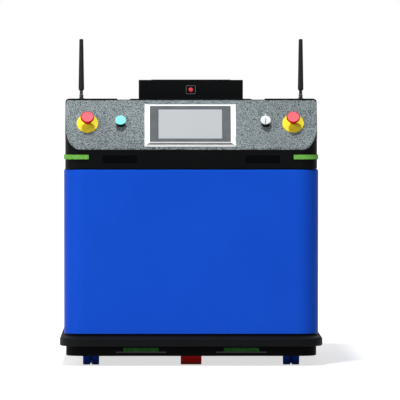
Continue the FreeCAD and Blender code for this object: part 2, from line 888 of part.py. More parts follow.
def make_start_and_key():
    """Lit start button and key switch: black bodies, bright rings, moving lens and key."""
    z0 = panel_top
    barrel = switch_hole_radius - seat_gap / 2
    bodies = []
    rings = []
    for x, height, bore_radius in ((start_x, start_collar_height, start_lens_radius),
                                   (key_x, key_collar_height, key_barrel_radius)):
        bore = bore_radius + slide_fit
        top = z0 + height
        floor = z0 + switch_floor
        bodies.append(on_panel(turned([
            (0, -switch_block_depth), (barrel, -switch_block_depth), (barrel, z0),
            (switch_collar_radius, z0), (switch_collar_radius, top), (bore, top), (bore, floor), (0, floor),
        ]), x, switch_row))
        rings.append(on_panel(turned([
            (bore, top), (switch_collar_radius, top),
            (switch_collar_radius, top + bezel_height - switch_chamfer),
            (switch_collar_radius - switch_chamfer, top + bezel_height), (bore, top + bezel_height),
        ]), x, switch_row))
    save("switch_bodies", *bodies)
    save("panel_fittings", *rings, *antenna_studs())

    lens_top = z0 + start_collar_height + bezel_height + start_lens_proud
    lens_low = z0 + switch_floor + start_travel + seat_gap
    lens = turned([
        (0, lens_low), (start_lens_radius, lens_low), (start_lens_radius, lens_top - start_lens_round),
        (start_lens_radius - start_lens_round, lens_top), (0, lens_top),
    ])
    save("start_lens", on_panel(lens, start_x, switch_row))

    key_top = z0 + key_collar_height + bezel_height
    slot = key_thickness / 2 + seat_gap / 2
    barrel_low = z0 + switch_floor + seat_gap
    plug = cylinder(key_barrel_radius, barrel_low, key_top)
    blade_low = barrel_low + bezel_height
    blade_half = key_blade_width / 2
    keyway = blade_half + seat_gap
    plug = plug.cut(box(-slot, slot, -keyway, keyway, blade_low, key_top + past))
    neck = key_top + key_neck
    half = key_width / 2
    cut_half = half - key_corner
    bow_top = neck + key_reach
    profile = [(-blade_half, blade_low + seat_gap), (blade_half, blade_low + seat_gap), (blade_half, neck),
               (half, neck + key_shoulder), (half, bow_top - key_corner), (cut_half, bow_top),
               (-cut_half, bow_top), (-half, bow_top - key_corner), (-half, neck + key_shoulder),
               (-blade_half, neck)]
    key = side_profile(profile, -key_thickness / 2, key_thickness / 2)
    save("key", on_panel(plug, key_x, switch_row), on_panel(key, key_x, switch_row))


def antenna_places():
    """Feet of the two antennas on the raised ends of the ridge."""
    y = (y_block + y_back) / 2
    return [Vector(x, y, z_block) for x in (-antenna_x, antenna_x)]


def antenna_studs():
    """Connector studs that the antennas turn on."""
    stud = cylinder(antenna_stud_radius, 0, antenna_collar_height - antenna_roof)
    stud = stud.fuse(cylinder(antenna_collar_radius + antenna_nut, 0, antenna_nut)).removeSplitter()
    return [stud.translated(place) for place in antenna_places()]


def make_antennas():
    """Folding antennas: a swivelling collar with a fork, and the blade pinned in it."""
    fork = antenna_neck_radius
    tongue = antenna_tongue / 2
    for side, place in zip(("left", "right"), antenna_places()):
        low = antenna_nut + axial_play
        collar = cylinder(antenna_collar_radius, low, antenna_collar_height)
        cheeks = cylinder(fork, antenna_collar_height - past, antenna_fold_height)
        cheeks = cheeks.fuse(rod_x(fork, -fork, fork, 0, antenna_fold_height).common(
            cylinder(fork, 0, antenna_fold_height + fork)))
        cheeks = cheeks.cut(box(-tongue - axial_play, tongue + axial_play, -2 * fork, 2 * fork,
                                antenna_fold_height - fork - axial_play, antenna_fold_height + 2 * fork))
        base = collar.fuse(cheeks)
        base = base.fuse(rod_x(antenna_pin_radius, -tongue - past, tongue + past, 0, antenna_fold_height))
        base = base.cut(cylinder(antenna_stud_radius + running_fit, 0,
                                 antenna_collar_height - antenna_roof + axial_play))
        save("antenna_base_" + side, base.removeSplitter().translated(place))

        tip = antenna_blade_start + antenna_blade_length
        blade = turned([
            (0, antenna_blade_start), (fork, antenna_blade_start),
            (antenna_root_radius, antenna_blade_start + antenna_root_flare),
            (antenna_root_radius, antenna_blade_start + antenna_root_length),
            (antenna_tip_radius, tip - antenna_tip_round),
            (antenna_tip_radius - antenna_tip_round / 3, tip - antenna_tip_round / 4),
            (antenna_tip_radius - antenna_tip_round, tip), (0, tip),
        ])
        tab = rod_x(fork - axial_play, -tongue, tongue, 0, antenna_fold_height)
        tab = tab.fuse(box(-tongue, tongue, axial_play - fork, fork - axial_play, antenna_fold_height,
                           antenna_blade_start + past))
        pin_bore = rod_x(antenna_pin_radius + running_fit, -fork, fork, 0, antenna_fold_height)
        blade = blade.fuse(tab).cut(pin_bore)
        save("antenna_blade_" + side, blade.removeSplitter().translated(place))


# ---------------------------------------------------------------- arm pedestal
def make_pedestal():
    """Two-tier pedestal with the bolted plate for the arm and a red indicator."""
    centre = Vector(0, pedestal_y, 0)

    def tier(size, z0, z1, wall):
        block = slab((size, size, pedestal_corner), z0, z1)
        block = rounded(block, pedestal_edge, lambda edge: abs(edge.CenterOfMass.z - z1) < tiny)
        inside = size - 2 * wall
        return block.cut(slab((inside, inside, pedestal_corner - wall), z0 - past, z1 - wall))
    low = tier(pedestal_base_size, z_deck_top, z_pedestal, pedestal_wall)
    save("pedestal_base", low.translated(centre))

    high = tier(pedestal_size, z_pedestal, z_pedestal_top, pedestal_wall)
    seat = arm_plate_size + 2 * arm_plate_ledge
    high = high.fuse(box(-seat / 2, seat / 2, -seat / 2, seat / 2, z_arm_plate - pedestal_wall,
                         z_pedestal_top - pedestal_wall))
    pocket = arm_plate_size / 2 + seat_gap
    high = high.cut(box(-pocket, pocket, -pocket, pocket, z_arm_plate, z_pedestal_top + past))
    way = arm_plate_size / 2 - arm_plate_ledge
    high = high.cut(box(-way, way, -way, way, z_pedestal - past, z_arm_plate + past))
    save("pedestal_box", high.removeSplitter().translated(centre))

    plate_top = z_arm_plate + arm_plate_thickness
    plate = slab((arm_plate_size, arm_plate_size, arm_plate_corner), z_arm_plate, plate_top)
    for index in range(arm_bolt_count):
        angle = math.radians(45 + index * 360 / arm_bolt_count)
        x = arm_bolt_circle / 2 * math.cos(angle)
        y = arm_bolt_circle / 2 * math.sin(angle)
        plate = plate.cut(cylinder(arm_bolt_radius, z_arm_plate - past, plate_top + past, x, y))
    save("arm_plate", plate.translated(centre))

    middle = z_pedestal_top - beacon_drop
    frame = slab((beacon_width, beacon_height, beacon_corner), 0, beacon_plate)
    wall_top = beacon_plate + beacon_lens_wall
    crown_top = wall_top + beacon_lens_crown / 2
    lens = turned([
        (0, beacon_plate), (beacon_lens_radius, beacon_plate), (beacon_lens_radius, wall_top),
        (beacon_lens_radius - beacon_lens_crown, crown_top), (0, crown_top),
    ])
    placed = []
    for shape in (frame, lens):
        shape.rotate(Vector(), Vector(1, 0, 0), 90)
        placed.append(shape.translated(Vector(0, y_pedestal_face, middle)))
    save("beacon", *placed)


# ---------------------------------------------------------------- casters
def caster_parts():
    """Swivel body and twin wheels of a caster, its swivel axis on Z."""
    wheel_z = caster_wheel_radius
    half_gap = caster_gap / 2
    outer = half_gap + caster_wheel_width
    hood_z = 2 * caster_wheel_radius + caster_wheel_room
    top = z_base - caster_plate_thickness - axial_play
    web = half_gap - axial_play
    boss = caster_axle_radius + caster_boss_wall
    housing = turned([
        (0, hood_z), (caster_housing_radius - caster_hood_taper, hood_z),
        (caster_housing_radius, hood_z + caster_hood_height), (caster_housing_radius, top - caster_edge),
        (caster_housing_radius - caster_edge, top), (kingpin_radius, top),
        (kingpin_radius, z_base - axial_play), (0, z_base - axial_play),
    ])
    back = caster_trail + boss
    leg_top = hood_z + caster_edge
    leg = side_profile([(boss - caster_housing_radius, leg_top), (caster_trail - boss, wheel_z),
                        (back, wheel_z), (back, leg_top)], -web, web)
    eye = rod_x(boss, -web, web, caster_trail, wheel_z)
    fork = fused([housing, leg, eye])
    fork = fork.cut(rod_x(caster_axle_radius + running_fit, -outer, outer, caster_trail, wheel_z))

    s = caster_shoulder
    r = caster_wheel_radius
    dish = caster_axle_radius + caster_hub_wall
    face = outer - caster_dish_depth
    tread = turned([
        (caster_axle_radius, half_gap), (r - s, half_gap), (r, half_gap + s), (r, outer - s),
        (r - s, outer), (dish + caster_dish_width, outer), (dish + caster_dish_flare, face), (dish, face),
        (dish, outer - past), (caster_axle_radius, outer - past),
    ])
    tread.rotate(Vector(), Vector(0, 1, 0), 90)
    tread.translate(Vector(0, caster_trail, wheel_z))
    axle = rod_x(caster_axle_radius, past - outer, outer - past, caster_trail, wheel_z)
    wheels = fused([tread, mirrored_x(tread), axle])
    return fork, wheels


def make_casters():
    """Four swivel casters with their bolted top plates."""
    fork, wheels = caster_parts()
    low = z_base - caster_plate_thickness
    plate = slab((caster_plate_size, caster_plate_size, caster_plate_corner), low, z_base)
    plate = plate.cut(cylinder(kingpin_radius + running_fit, low - past, z_base + past))
    plates = []
    for side, x in (("left", -caster_x), ("right", caster_x)):
        for end, y in (("front", -caster_y), ("rear", caster_y)):
            place = Vector(x, y, 0)
            plates.append(plate.translated(place))
            save("caster_fork_" + end + "_" + side, fork.translated(place))
            save("caster_wheels_" + end + "_" + side, wheels.translated(place))
    save("caster_plates", *plates)


# ---------------------------------------------------------------- steering drive units
def gear_outline(teeth, angle):
    """Involute spur gear, one tooth centred on the angle in degrees."""
    pitch = gear_module * teeth / 2
    base = pitch * math.cos(math.radians(20))
    root = pitch - 1.25 * gear_module
    tip = pitch + gear_module

    def involute(radius):
        pressure = math.acos(min(1.0, base / radius))
        return math.tan(pressure) - pressure
    half = math.pi / (2 * teeth) - gear_backlash / (4 * pitch) + involute(pitch)
    radii = [max(base, root), pitch, (pitch + tip) / 2, tip]
    flank = [(radius, half - involute(radius)) for radius in radii]
    if root < base:
        flank.insert(0, (root, half))
    points = []
    for tooth in range(teeth):
        middle = math.radians(angle) + tooth * 2 * math.pi / teeth
        for radius, spread in flank:
            points.append((radius, middle - spread))
        for radius, spread in reversed(flank):
            points.append((radius, middle + spread))
    return [Vector(radius * math.cos(a), radius * math.sin(a), 0) for radius, a in points]


def gear(teeth, angle, z0, z1):
    """Solid gear from z0 to z1."""
    return polygon(gear_outline(teeth, angle)).extrude(Vector(0, 0, z1 - z0)).translated(Vector(0, 0, z0))


def turret():
    """Fixed bell over the drive wheel, with the bearing bore in its lid."""
    wall = turret_bore + turret_wall
    flange = wall + turret_flange
    lid_z = z_turret + slew_lip
    return turned([
        (turret_bore, z_floor), (flange, z_floor), (flange, z_floor + turret_wall),
        (wall, z_floor + turret_wall), (wall, z_turret_top - turret_chamfer),
        (wall - turret_chamfer, z_turret_top), (slew_radius, z_turret_top),
        (slew_radius, lid_z), (turret_bore, lid_z),
    ])


def steer_fork():
    """Slewing disc with the ring gear on it, two cheeks and the wheel axle."""
    inner = slew_radius - running_fit
    lip = slew_radius + slew_lip
    disc = turned([
        (0, z_turret), (lip, z_turret), (lip, z_turret + slew_lip - axial_play),
        (inner, z_turret + slew_lip - axial_play), (inner, z_gear), (0, z_gear),
    ])
    bore = drive_motor_radius + drive_motor_flange + seat_gap
    ring = gear(ring_teeth, 90, z_gear - past, z_gear_top)
    ring = ring.cut(cylinder(bore, z_gear - 2 * past, z_gear_top + past))
    outside = cylinder(2 * slew_radius, z_gear - 2 * past, z_gear)
    ring = ring.cut(outside.cut(cylinder(inner, z_gear - 2 * past, z_gear)))
    axle_z = drive_wheel_radius
    inside = drive_wheel_width / 2 + fork_gap
    cheeks = []
    gearcase_radius = fork_boss_radius + fork_gearcase_swell
    for x0, x1, radius in ((-inside - fork_cheek, -inside, fork_boss_radius),
                           (inside, inside + fork_gearcase, gearcase_radius)):
        top = radius * fork_taper
        leg = side_profile([(-radius, axle_z), (radius, axle_z), (top, z_turret + past),
                            (-top, z_turret + past)], x0, x1)
        cheeks.append(leg.fuse(rod_x(radius, x0, x1, 0, axle_z)))
    axle = rod_x(drive_axle_radius, -inside - past, inside + past, 0, axle_z)
    return fused([disc, ring, cheeks[0], cheeks[1], axle])


def drive_wheel():
    """Drive wheel: hub with a web, and bonded tread."""
    half = drive_wheel_width / 2
    rim = drive_wheel_radius - drive_tread
    web = drive_web_width / 2
    hub_radius = drive_axle_radius + drive_hub_wall
    rim_bore = rim - drive_rim_wall
    rim_half = half - past
    bore = drive_axle_radius + running_fit
    hub = turned([
        (bore, -half), (hub_radius, -half), (hub_radius, -web), (rim_bore, -web), (rim_bore, -rim_half),
        (rim, -rim_half), (rim, rim_half), (rim_bore, rim_half), (rim_bore, web), (hub_radius, web),
        (hub_radius, half), (bore, half),
    ])
    edge = drive_tread_edge
    tread = turned([
        (rim + seat_gap, -half), (drive_wheel_radius - edge, -half), (drive_wheel_radius, edge - half),
        (drive_wheel_radius, half - edge), (drive_wheel_radius - edge, half), (rim + seat_gap, half),
    ])
    solids = []
    for shape in (hub, tread):
        shape.rotate(Vector(), Vector(0, 1, 0), 90)
        solids.append(shape.translated(Vector(0, 0, drive_wheel_radius)))
    return solids


def drive_motor():
    """Drive motor with its flange, brake cap and terminal box."""
    r = drive_motor_radius
    z1 = z_gear + drive_motor_height
    z2 = z1 + drive_brake_height
    flange = r + drive_motor_flange
    flange_z = z_gear + drive_flange_height
    brake = r - drive_brake_step
    edge = drive_brake_edge
    body = turned([
        (0, z_gear), (flange, z_gear), (flange, flange_z), (r, flange_z), (r, z1), (brake, z1 + edge),
        (brake, z2 - edge), (brake - edge, z2), (0, z2),
    ])
    half = terminal_width / 2
    terminal_top = z1 - terminal_reach
    terminal = box(-half, half, -r - terminal_reach, 0, terminal_top - terminal_height, terminal_top)
    return body.fuse(terminal).removeSplitter()


def steer_drive():
    """Fixed bracket with the steering motor above the pinion."""
    half = steer_motor_size / 2
    y0 = gear_distance
    leg_y = y0 + gear_module * (pinion_teeth / 2 + 1) + steer_pinion_room
    low = z_gear_top + steer_bracket_gap
    high = low + steer_bracket_thickness
    foot_top = z_floor + turret_wall
    plate = box(-half, half, y0 - half, leg_y + steer_leg_depth, low, high)
    plate = plate.cut(cylinder(steer_shaft_radius + running_fit, low - past, high + past, 0, y0))
    legs = [box(x, x + steer_leg_width, leg_y, leg_y + steer_leg_depth, foot_top, low)
            for x in (-half, half - steer_leg_width)]
    foot = box(-half, half, leg_y, leg_y + steer_foot_length, z_floor, foot_top)
    wall = turret_bore + turret_wall + turret_flange
    foot = foot.cut(cylinder(wall + seat_gap, 0, 2 * z_floor))
    bracket = fused([plate, foot] + legs)
    top = high + steer_motor_height
    motor = rounded(box(-half, half, y0 - half, y0 + half, high, top), steer_motor_corner, is_upright)
    encoder = cylinder(half - steer_encoder_inset, high, top + steer_encoder_height, 0, y0)
    motor = motor.fuse(encoder).removeSplitter()
    return bracket, motor


def steer_pinion():
    """Pinion on its shaft."""
    shaft_top = z_gear_top + steer_bracket_gap + steer_bracket_thickness - seat_gap
    shape = gear(pinion_teeth, 90, z_gear, z_gear_top)
    shape = shape.fuse(cylinder(steer_shaft_radius, z_gear_top - past, shaft_top)).removeSplitter()
    return shape.translated(Vector(0, gear_distance, 0))


def make_drive_units():
    """Two steering drive units, their pinions towards the middle of the body."""
    bracket, motor = steer_drive()
    parts = {"steer_fork": [steer_fork()], "drive_wheel": drive_wheel(), "drive_motor": [drive_motor()],
             "steer_pinion": [steer_pinion()]}
    fixed = {"steer_turrets": [turret()], "steer_motors": [bracket, motor]}
    placed = {name: [] for name in fixed}
    for end, turn, y in (("front", 0, -drive_y), ("rear", 180, drive_y)):
        place = Placement(Vector(0, y, 0), Rotation(Vector(0, 0, 1), turn))

        def put(shape):
            copy = shape.copy()
            copy.Placement = place.multiply(copy.Placement)
            return copy
        for name, solids in parts.items():
            save(name + "_" + end, *[put(solid) for solid in solids])
        for name, solids in fixed.items():
            placed[name] += [put(solid) for solid in solids]
    for name, solids in placed.items():
        save(name, *solids)


# ---------------------------------------------------------------- inner equipment
def make_equipment():
    """Battery, control computer, motor drivers and the charging contacts."""
    top = z_floor + battery_height
    battery = slab((battery_width, battery_length, battery_edge), z_floor, top)
    battery = rounded(battery, battery_edge / 2, lambda edge: abs(edge.CenterOfMass.z - top) < tiny)
    save("battery_pack", battery)

    width, length, height = computer_size
    corner = equipment_corner
    boxes = [rounded_block(width, length, height, corner, Vector(-equipment_x, 0, z_floor))]
    width, length, height = driver_size
    step = (length + driver_gap) / 2
    boxes += [rounded_block(width, length, height, corner, Vector(equipment_x, y, z_floor))
              for y in (-step, step)]
    save("control_electronics", *boxes)

    y0 = body_length / 2
    z0 = z_shell + contact_rise
    half = contact_pad_width / 2
    pad = box(-half, half, y0, y0 + contact_pad_depth, z0, z0 + contact_pad_height)
    pieces = [rounded(pad, contact_pad_edge,
                      lambda edge: abs(edge.CenterOfMass.y - y0 - contact_pad_depth) < tiny)]
    bar = contact_bar_width / 2
    for share in (-1, 1):
        z = z0 + contact_pad_height / 2 + share * contact_bar_height - contact_bar_height / 2
        pieces.append(box(-bar, bar, y0 + contact_pad_depth, y0 + contact_pad_depth + contact_bar_depth, z,
                          z + contact_bar_height))
    save("charge_contacts", *pieces)


os.makedirs("parts", exist_ok=True)
make_shells()
make_skirts()
make_bumpers()
make_floor()
make_housing()
make_housing_trim()
make_screen()
make_estops()
make_start_and_key()
make_antennas()
make_pedestal()
make_casters()
make_drive_units()
make_equipment()
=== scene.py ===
# %% [markdown]
# # A mobile robot base, dressed from its CAD frame
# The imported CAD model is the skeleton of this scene. Every node keeps its place and gets
# the finish of the process it was made by. Where a solid lacks the small forms that catch
# the light, a surface worked out with numpy stands in for it.
# %% Load the frame
import json
import math

import bmesh
import bpy
import numpy as np
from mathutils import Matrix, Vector


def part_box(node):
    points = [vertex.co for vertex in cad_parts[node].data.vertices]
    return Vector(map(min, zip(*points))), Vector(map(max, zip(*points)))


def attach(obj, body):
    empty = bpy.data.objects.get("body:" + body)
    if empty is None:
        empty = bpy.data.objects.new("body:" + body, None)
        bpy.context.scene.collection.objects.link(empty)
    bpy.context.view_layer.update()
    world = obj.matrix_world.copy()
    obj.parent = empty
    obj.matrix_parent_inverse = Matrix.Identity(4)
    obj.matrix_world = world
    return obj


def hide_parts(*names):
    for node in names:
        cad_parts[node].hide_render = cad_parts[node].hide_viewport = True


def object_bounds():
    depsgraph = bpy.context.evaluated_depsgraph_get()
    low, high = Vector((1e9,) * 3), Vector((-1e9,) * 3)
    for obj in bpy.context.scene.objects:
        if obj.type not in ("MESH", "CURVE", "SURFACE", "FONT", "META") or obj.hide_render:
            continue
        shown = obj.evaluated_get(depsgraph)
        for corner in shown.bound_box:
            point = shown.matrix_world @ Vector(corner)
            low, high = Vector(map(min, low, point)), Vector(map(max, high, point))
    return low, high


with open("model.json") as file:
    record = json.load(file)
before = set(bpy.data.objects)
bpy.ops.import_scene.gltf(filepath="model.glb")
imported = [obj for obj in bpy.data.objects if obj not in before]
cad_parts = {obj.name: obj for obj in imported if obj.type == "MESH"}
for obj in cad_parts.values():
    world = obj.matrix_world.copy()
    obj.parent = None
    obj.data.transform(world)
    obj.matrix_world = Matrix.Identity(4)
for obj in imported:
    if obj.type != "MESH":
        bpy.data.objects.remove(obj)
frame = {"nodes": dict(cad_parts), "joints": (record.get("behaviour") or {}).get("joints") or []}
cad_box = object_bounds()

nodes = frame["nodes"]
joints = {joint["name"]: joint for joint in frame["joints"]}
ENDS = ("front", "rear")
SIDES = ("left", "right")
MM = 0.001
low, high = (Vector(corner) for corner in cad_box)
print("CAD box in millimetres:", [round(value / MM) for value in high - low])

# %% [markdown]
# ## Colours
# Paint and plastic makers give colours as sRGB hex codes, but a shader computes with
# light itself. One function turns the first into the second, so that every colour below
# can be written as a designer would write it.
# %% From sRGB hex to linear light
def linear(code, gain=1.0):
    """Linear RGBA of an sRGB hex code: each channel c becomes ((c + 0.055) / 1.055) ^ 2.4."""
    channels = np.array([int(code[i:i + 2], 16) for i in (1, 3, 5)]) / 255
    light = np.where(channels <= 0.04045, channels / 12.92, ((channels + 0.055) / 1.055) ** 2.4)
    return (*(light * gain).tolist(), 1.0)


def grey(value):
    """Neutral colour for a value between 0 and 1."""
    return (value, value, value, 1.0)


print("mid grey #808080 is", round(linear("#808080")[0], 3), "of white light")

# %% [markdown]
# ## One helper for nodes
# A material is a small graph. It could be clicked together by hand; in a script one
# function that adds a node, sets it and links it keeps each recipe to a few lines.
# %% Add a node
def add(tree, kind, inputs=None, stops=(), **settings):
    """Add a node of this kind and return it.

    Inputs are values, or sockets to link from. Stops are the two ends of a colour ramp,
    each with its position and its colour.
    """
    node = tree.nodes.new("ShaderNode" + kind)
    for name, value in settings.items():
        setattr(node, name, value)
    for index, (position, colour) in enumerate(stops):
        end = node.color_ramp.elements[index]
        end.position, end.color = position, colour
    for name, value in (inputs or {}).items():
        if isinstance(value, bpy.types.NodeSocket):
            tree.links.new(value, node.inputs[name])
        else:
            node.inputs[name].default_value = value
    return node


print("nodes are added by", add.__name__)

# %% [markdown]
# ## How a finish starts
# Every finish is a Principled shader read in Object coordinates, which are metres on the
# real thing. So a pattern is given by the size of its features in millimetres. What the
# eye sees of a finish is a tone that drifts, a gloss that wanders and a relief that breaks
# up the light. Each is a layer: one noise that drives one socket. A soft studio shows
# little sheen on paint and plastic, hence a specular level below the usual one; bare metal
# mirrors the room all the same.
# %% Material in layers
SOFT_SHEEN = 0.06


def layered(name, roughness, layers, **sockets):
    """A material in which each layer, a noise, drives the socket that it is filed under.

    A layer has the size_mm of its features and may have a detail and an offset. It runs
    between two colours as its noise goes from the first to the second of its ends, or it
    raises a relief of depth_mm.
    """
    material = bpy.data.materials.new(name)
    material.use_nodes = True
    tree = material.node_tree
    shader = tree.nodes["Principled BSDF"].inputs
    shader["Roughness"].default_value = roughness
    shader["Specular IOR Level"].default_value = SOFT_SHEEN
    for socket, value in sockets.items():
        shader[socket.replace("_", " ")].default_value = value
    place = add(tree, "TexCoord").outputs["Object"]
    for socket, layer in layers.items():
        moved = add(tree, "Mapping", {"Vector": place, "Location": layer.get("offset", (0.0, 0.0, 0.0))})
        noise = add(tree, "TexNoise", {"Vector": moved.outputs["Vector"], "Detail": layer.get("detail", 2.0),
                                       "Scale": 1 / (layer["size_mm"] * MM)}).outputs["Fac"]
        if "depth_mm" in layer:
            made = add(tree, "Bump", {"Height": noise, "Distance": layer["depth_mm"] * MM, "Strength": 1.0})
        else:
            made = add(tree, "ValToRGB", {"Fac": noise}, zip(layer.get("ends", (0.3, 0.7)), layer["between"]))
        tree.links.new(made.outputs[0], shader[socket])
    return material


def either_side(roughness, spread=0.15):
    """Two greys, a share below and above a roughness, for a gloss that wanders."""
    return grey(roughness * (1 - spread)), grey(roughness * (1 + spread))


print("one millimetre of grain is a texture scale of", 1 / MM)

# %% [markdown]
# ## The camera
# A very long lens far away keeps every edge nearly parallel, as a catalogue picture does:
# the skirt stays level round the corners and the verticals stay upright. It stands a
# little above the top of the pedestal and looks down by about one degree.
# %% Camera
CAMERA_PLACE = (-0.10, -16.48, 0.80)
LOOKS_DOWN = 1.206
LOOKS_RIGHT = 0.445
LENS_MM = 517.4
SENSOR_MM = 36.0
SEES_AS_FAR_AS = 200.0

camera_data = bpy.data.cameras.new("camera")
camera_data.sensor_width = SENSOR_MM
camera_data.lens = LENS_MM
camera_data.clip_end = SEES_AS_FAR_AS
camera = bpy.data.objects.new("camera", camera_data)
camera.location = CAMERA_PLACE
camera.rotation_euler = (math.radians(90 - LOOKS_DOWN), 0.0, math.radians(-LOOKS_RIGHT))
bpy.context.scene.collection.objects.link(camera)
bpy.context.scene.camera = camera
print("lens", round(camera_data.lens), "mm from", round(-camera.location.y, 1), "metres")

# %% [markdown]
# ## Soft studio light
# The main box of light hangs high in front and a little to the left, so that the heads of
# the emergency stops throw their shadow down onto the yellow discs. A broad weak one,
# lower and further left, fills. The levels add up to about one, so a colour renders about
# as it is written. The camera looks past the boxes, and they leave no mirror image, so
# that polished parts show the white room instead.
# %% Lamps
MIDDLE = Vector((0.0, 0.0, 0.5))


def soft_box(name, place, size, watts):
    """Square area lamp at place, turned to face the middle of the robot."""
    lamp = bpy.data.lights.new(name, "AREA")
    lamp.size = size
    lamp.energy = watts
    holder = bpy.data.objects.new(name, lamp)
    holder.location = place
    holder.rotation_euler = (MIDDLE - Vector(place)).to_track_quat("-Z", "Y").to_euler()
    holder.visible_camera = False
    holder.visible_glossy = False
    bpy.context.scene.collection.objects.link(holder)


soft_box("key_light", (-0.6, -2.5, 5.2), size=0.7, watts=225.0)
soft_box("front_light", (-3.7, -4.2, 2.2), size=2.4, watts=96.0)

bpy.context.scene.view_settings.view_transform = "Standard"
print("lamps:", [lamp.name for lamp in bpy.data.lights])

# %% [markdown]
# ## A white room
# The background is white for the camera. Shiny parts see a room with a bright ceiling, a
# pale left wall and dark flags elsewhere; that gives edges and bevels their contrast.
# Light that only fills is dimmer, so that the white does not flood the object, and it
# fades towards the right, where the room is open. Each part of the room is a brightness
# that changes softly with the direction of the ray, and the brightest part wins.
# %% World
ROOM_LIGHT = 0.22
DARK_SIDE = 0.06
CEILING = 1.3
LEFT_WALL = 1.0

world = bpy.data.worlds.new("white_room")
bpy.context.scene.world = world
world.use_nodes = True
room = world.node_tree
towards = add(room, "SeparateXYZ", {"Vector": add(room, "TexCoord").outputs["Generated"]})
soft_fade = {"interpolation_type": "SMOOTHSTEP"}
ceiling = add(room, "MapRange", {"Value": towards.outputs["Z"], "From Min": 0.2, "From Max": 0.6,
                                 "To Min": DARK_SIDE, "To Max": CEILING}, **soft_fade)
left_wall = add(room, "MapRange", {"Value": towards.outputs["X"], "From Min": -0.7, "From Max": -0.2,
                                   "To Min": LEFT_WALL, "To Max": DARK_SIDE}, **soft_fade)
fill = add(room, "MapRange", {"Value": towards.outputs["X"], "From Min": -0.3, "From Max": 0.9,
                              "To Min": ROOM_LIGHT, "To Max": ROOM_LIGHT / 4}, **soft_fade)
ray = add(room, "LightPath").outputs
larger = {"operation": "MAXIMUM"}
walls = add(room, "Math", {0: left_wall.outputs["Result"], 1: ceiling.outputs["Result"]}, **larger)
shown = add(room, "Math", {0: walls.outputs[0], 1: ray["Is Camera Ray"]}, **larger)
direct = add(room, "Math", {0: ray["Is Camera Ray"], 1: ray["Is Glossy Ray"]}, **larger)
seen = add(room, "Math", {0: direct.outputs[0], 1: ray["Is Transmission Ray"]}, **larger)
strength = add(room, "MapRange", {"Value": seen.outputs[0], "To Min": fill.outputs["Result"],
                                  "To Max": shown.outputs[0]})
room.nodes["Background"].inputs["Color"].default_value = (1.0, 1.0, 1.0, 1.0)
room.links.new(strength.outputs["Result"], room.nodes["Background"].inputs["Strength"])
print("fill light of the room:", ROOM_LIGHT)

# %% [markdown]
# ## A white floor
# A matt white floor takes the soft shadow that seats the robot. For rays that look at it,
# it also glows, weakly under the robot and more further out, until it is as white as the
# background. For polished parts the floor in front is dark, like the room on that side.
# %% Floor
FLOOR_RADIUS = 60.0
FLOOR_DROP = 0.0005
GLOW_NEAR, GLOW_FAR = 0.68, 1.0


def disc_mesh(name, radius, z, steps=96):
    """Flat disc: points at equal angles on a circle, joined by one face."""
    angle = np.linspace(0, 2 * np.pi, steps, endpoint=False)
    points = np.column_stack((radius * np.cos(angle), radius * np.sin(angle), np.full(steps, z)))
    mesh = bpy.data.meshes.new(name)
    mesh.from_pydata(points.tolist(), [], [list(range(steps))])
    return mesh


def white_floor():
    """Matt white paint, its glow growing with the distance from the middle of the floor."""
    dust = {"size_mm": 40.0, "between": (grey(0.80), grey(0.82)), "ends": (0.0, 1.0)}
    material = layered("studio_floor_paint", 0.9, {"Base Color": dust})
    tree = material.node_tree
    place = add(tree, "TexCoord").outputs["Object"]
    distance = add(tree, "VectorMath", {0: place}, operation="LENGTH").outputs["Value"]
    away = add(tree, "MapRange", {"Value": distance, "From Min": 0.9, "From Max": 3.0,
                                  "To Min": GLOW_NEAR, "To Max": GLOW_FAR}, **soft_fade)
    spot = add(tree, "SeparateXYZ", {"Vector": place}).outputs
    behind = add(tree, "MapRange", {"Value": spot["Y"], "From Min": -0.6, "From Max": 0.6,
                                    "To Min": DARK_SIDE, "To Max": 1.0}, **soft_fade)
    path = add(tree, "LightPath").outputs
    direct = add(tree, "Math", {0: path["Is Camera Ray"], 1: path["Is Transmission Ray"]}, **larger)
    polished = add(tree, "Math", {0: path["Is Glossy Ray"], 1: behind.outputs["Result"]},
                   operation="MULTIPLY")
    looked_at = add(tree, "Math", {0: direct.outputs[0], 1: polished.outputs[0]}, **larger)
    glow = add(tree, "Math", {0: looked_at.outputs[0], 1: away.outputs["Result"]}, operation="MULTIPLY")
    shader = tree.nodes["Principled BSDF"]
    shader.inputs["Emission Color"].default_value = (1.0, 1.0, 1.0, 1.0)
    tree.links.new(glow.outputs[0], shader.inputs["Emission Strength"])
    return material


floor = bpy.data.objects.new("studio_floor", disc_mesh("studio_floor", FLOOR_RADIUS, -FLOOR_DROP))
floor.data.materials.append(white_floor())
bpy.context.scene.collection.objects.link(floor)
print("floor", [round(size) for size in floor.dimensions[:2]], "metres")

# %% [markdown]
# ## Giving a node its finish
# A CAD node keeps its mesh and its place; only its material slot changes.
# %% Dress CAD nodes
def dress(material, *names):
    """Give CAD nodes one material, in place of what they came with."""
    for name in names:
        data = nodes[name].data
        data.materials.clear()
        data.materials.append(material)
    print(material.name, "on", ", ".join(names))


# %% [markdown]
# ## Powder coated sheet
# The covers are folded sheet steel, powder coated: the powder melts, flows and sets with a
# faint orange peel, a ripple a few millimetres long. The eye sees it where the ripple
# breaks up the edge of a reflection, and it sees a slow drift in tone over a big sprayed
# panel. A noise of each size gives them. The black covers get a finer, duller coat.
# %% Powder coat
SPRAY_SWEEP_MM = 220.0
HANDLING_MM = 9.0


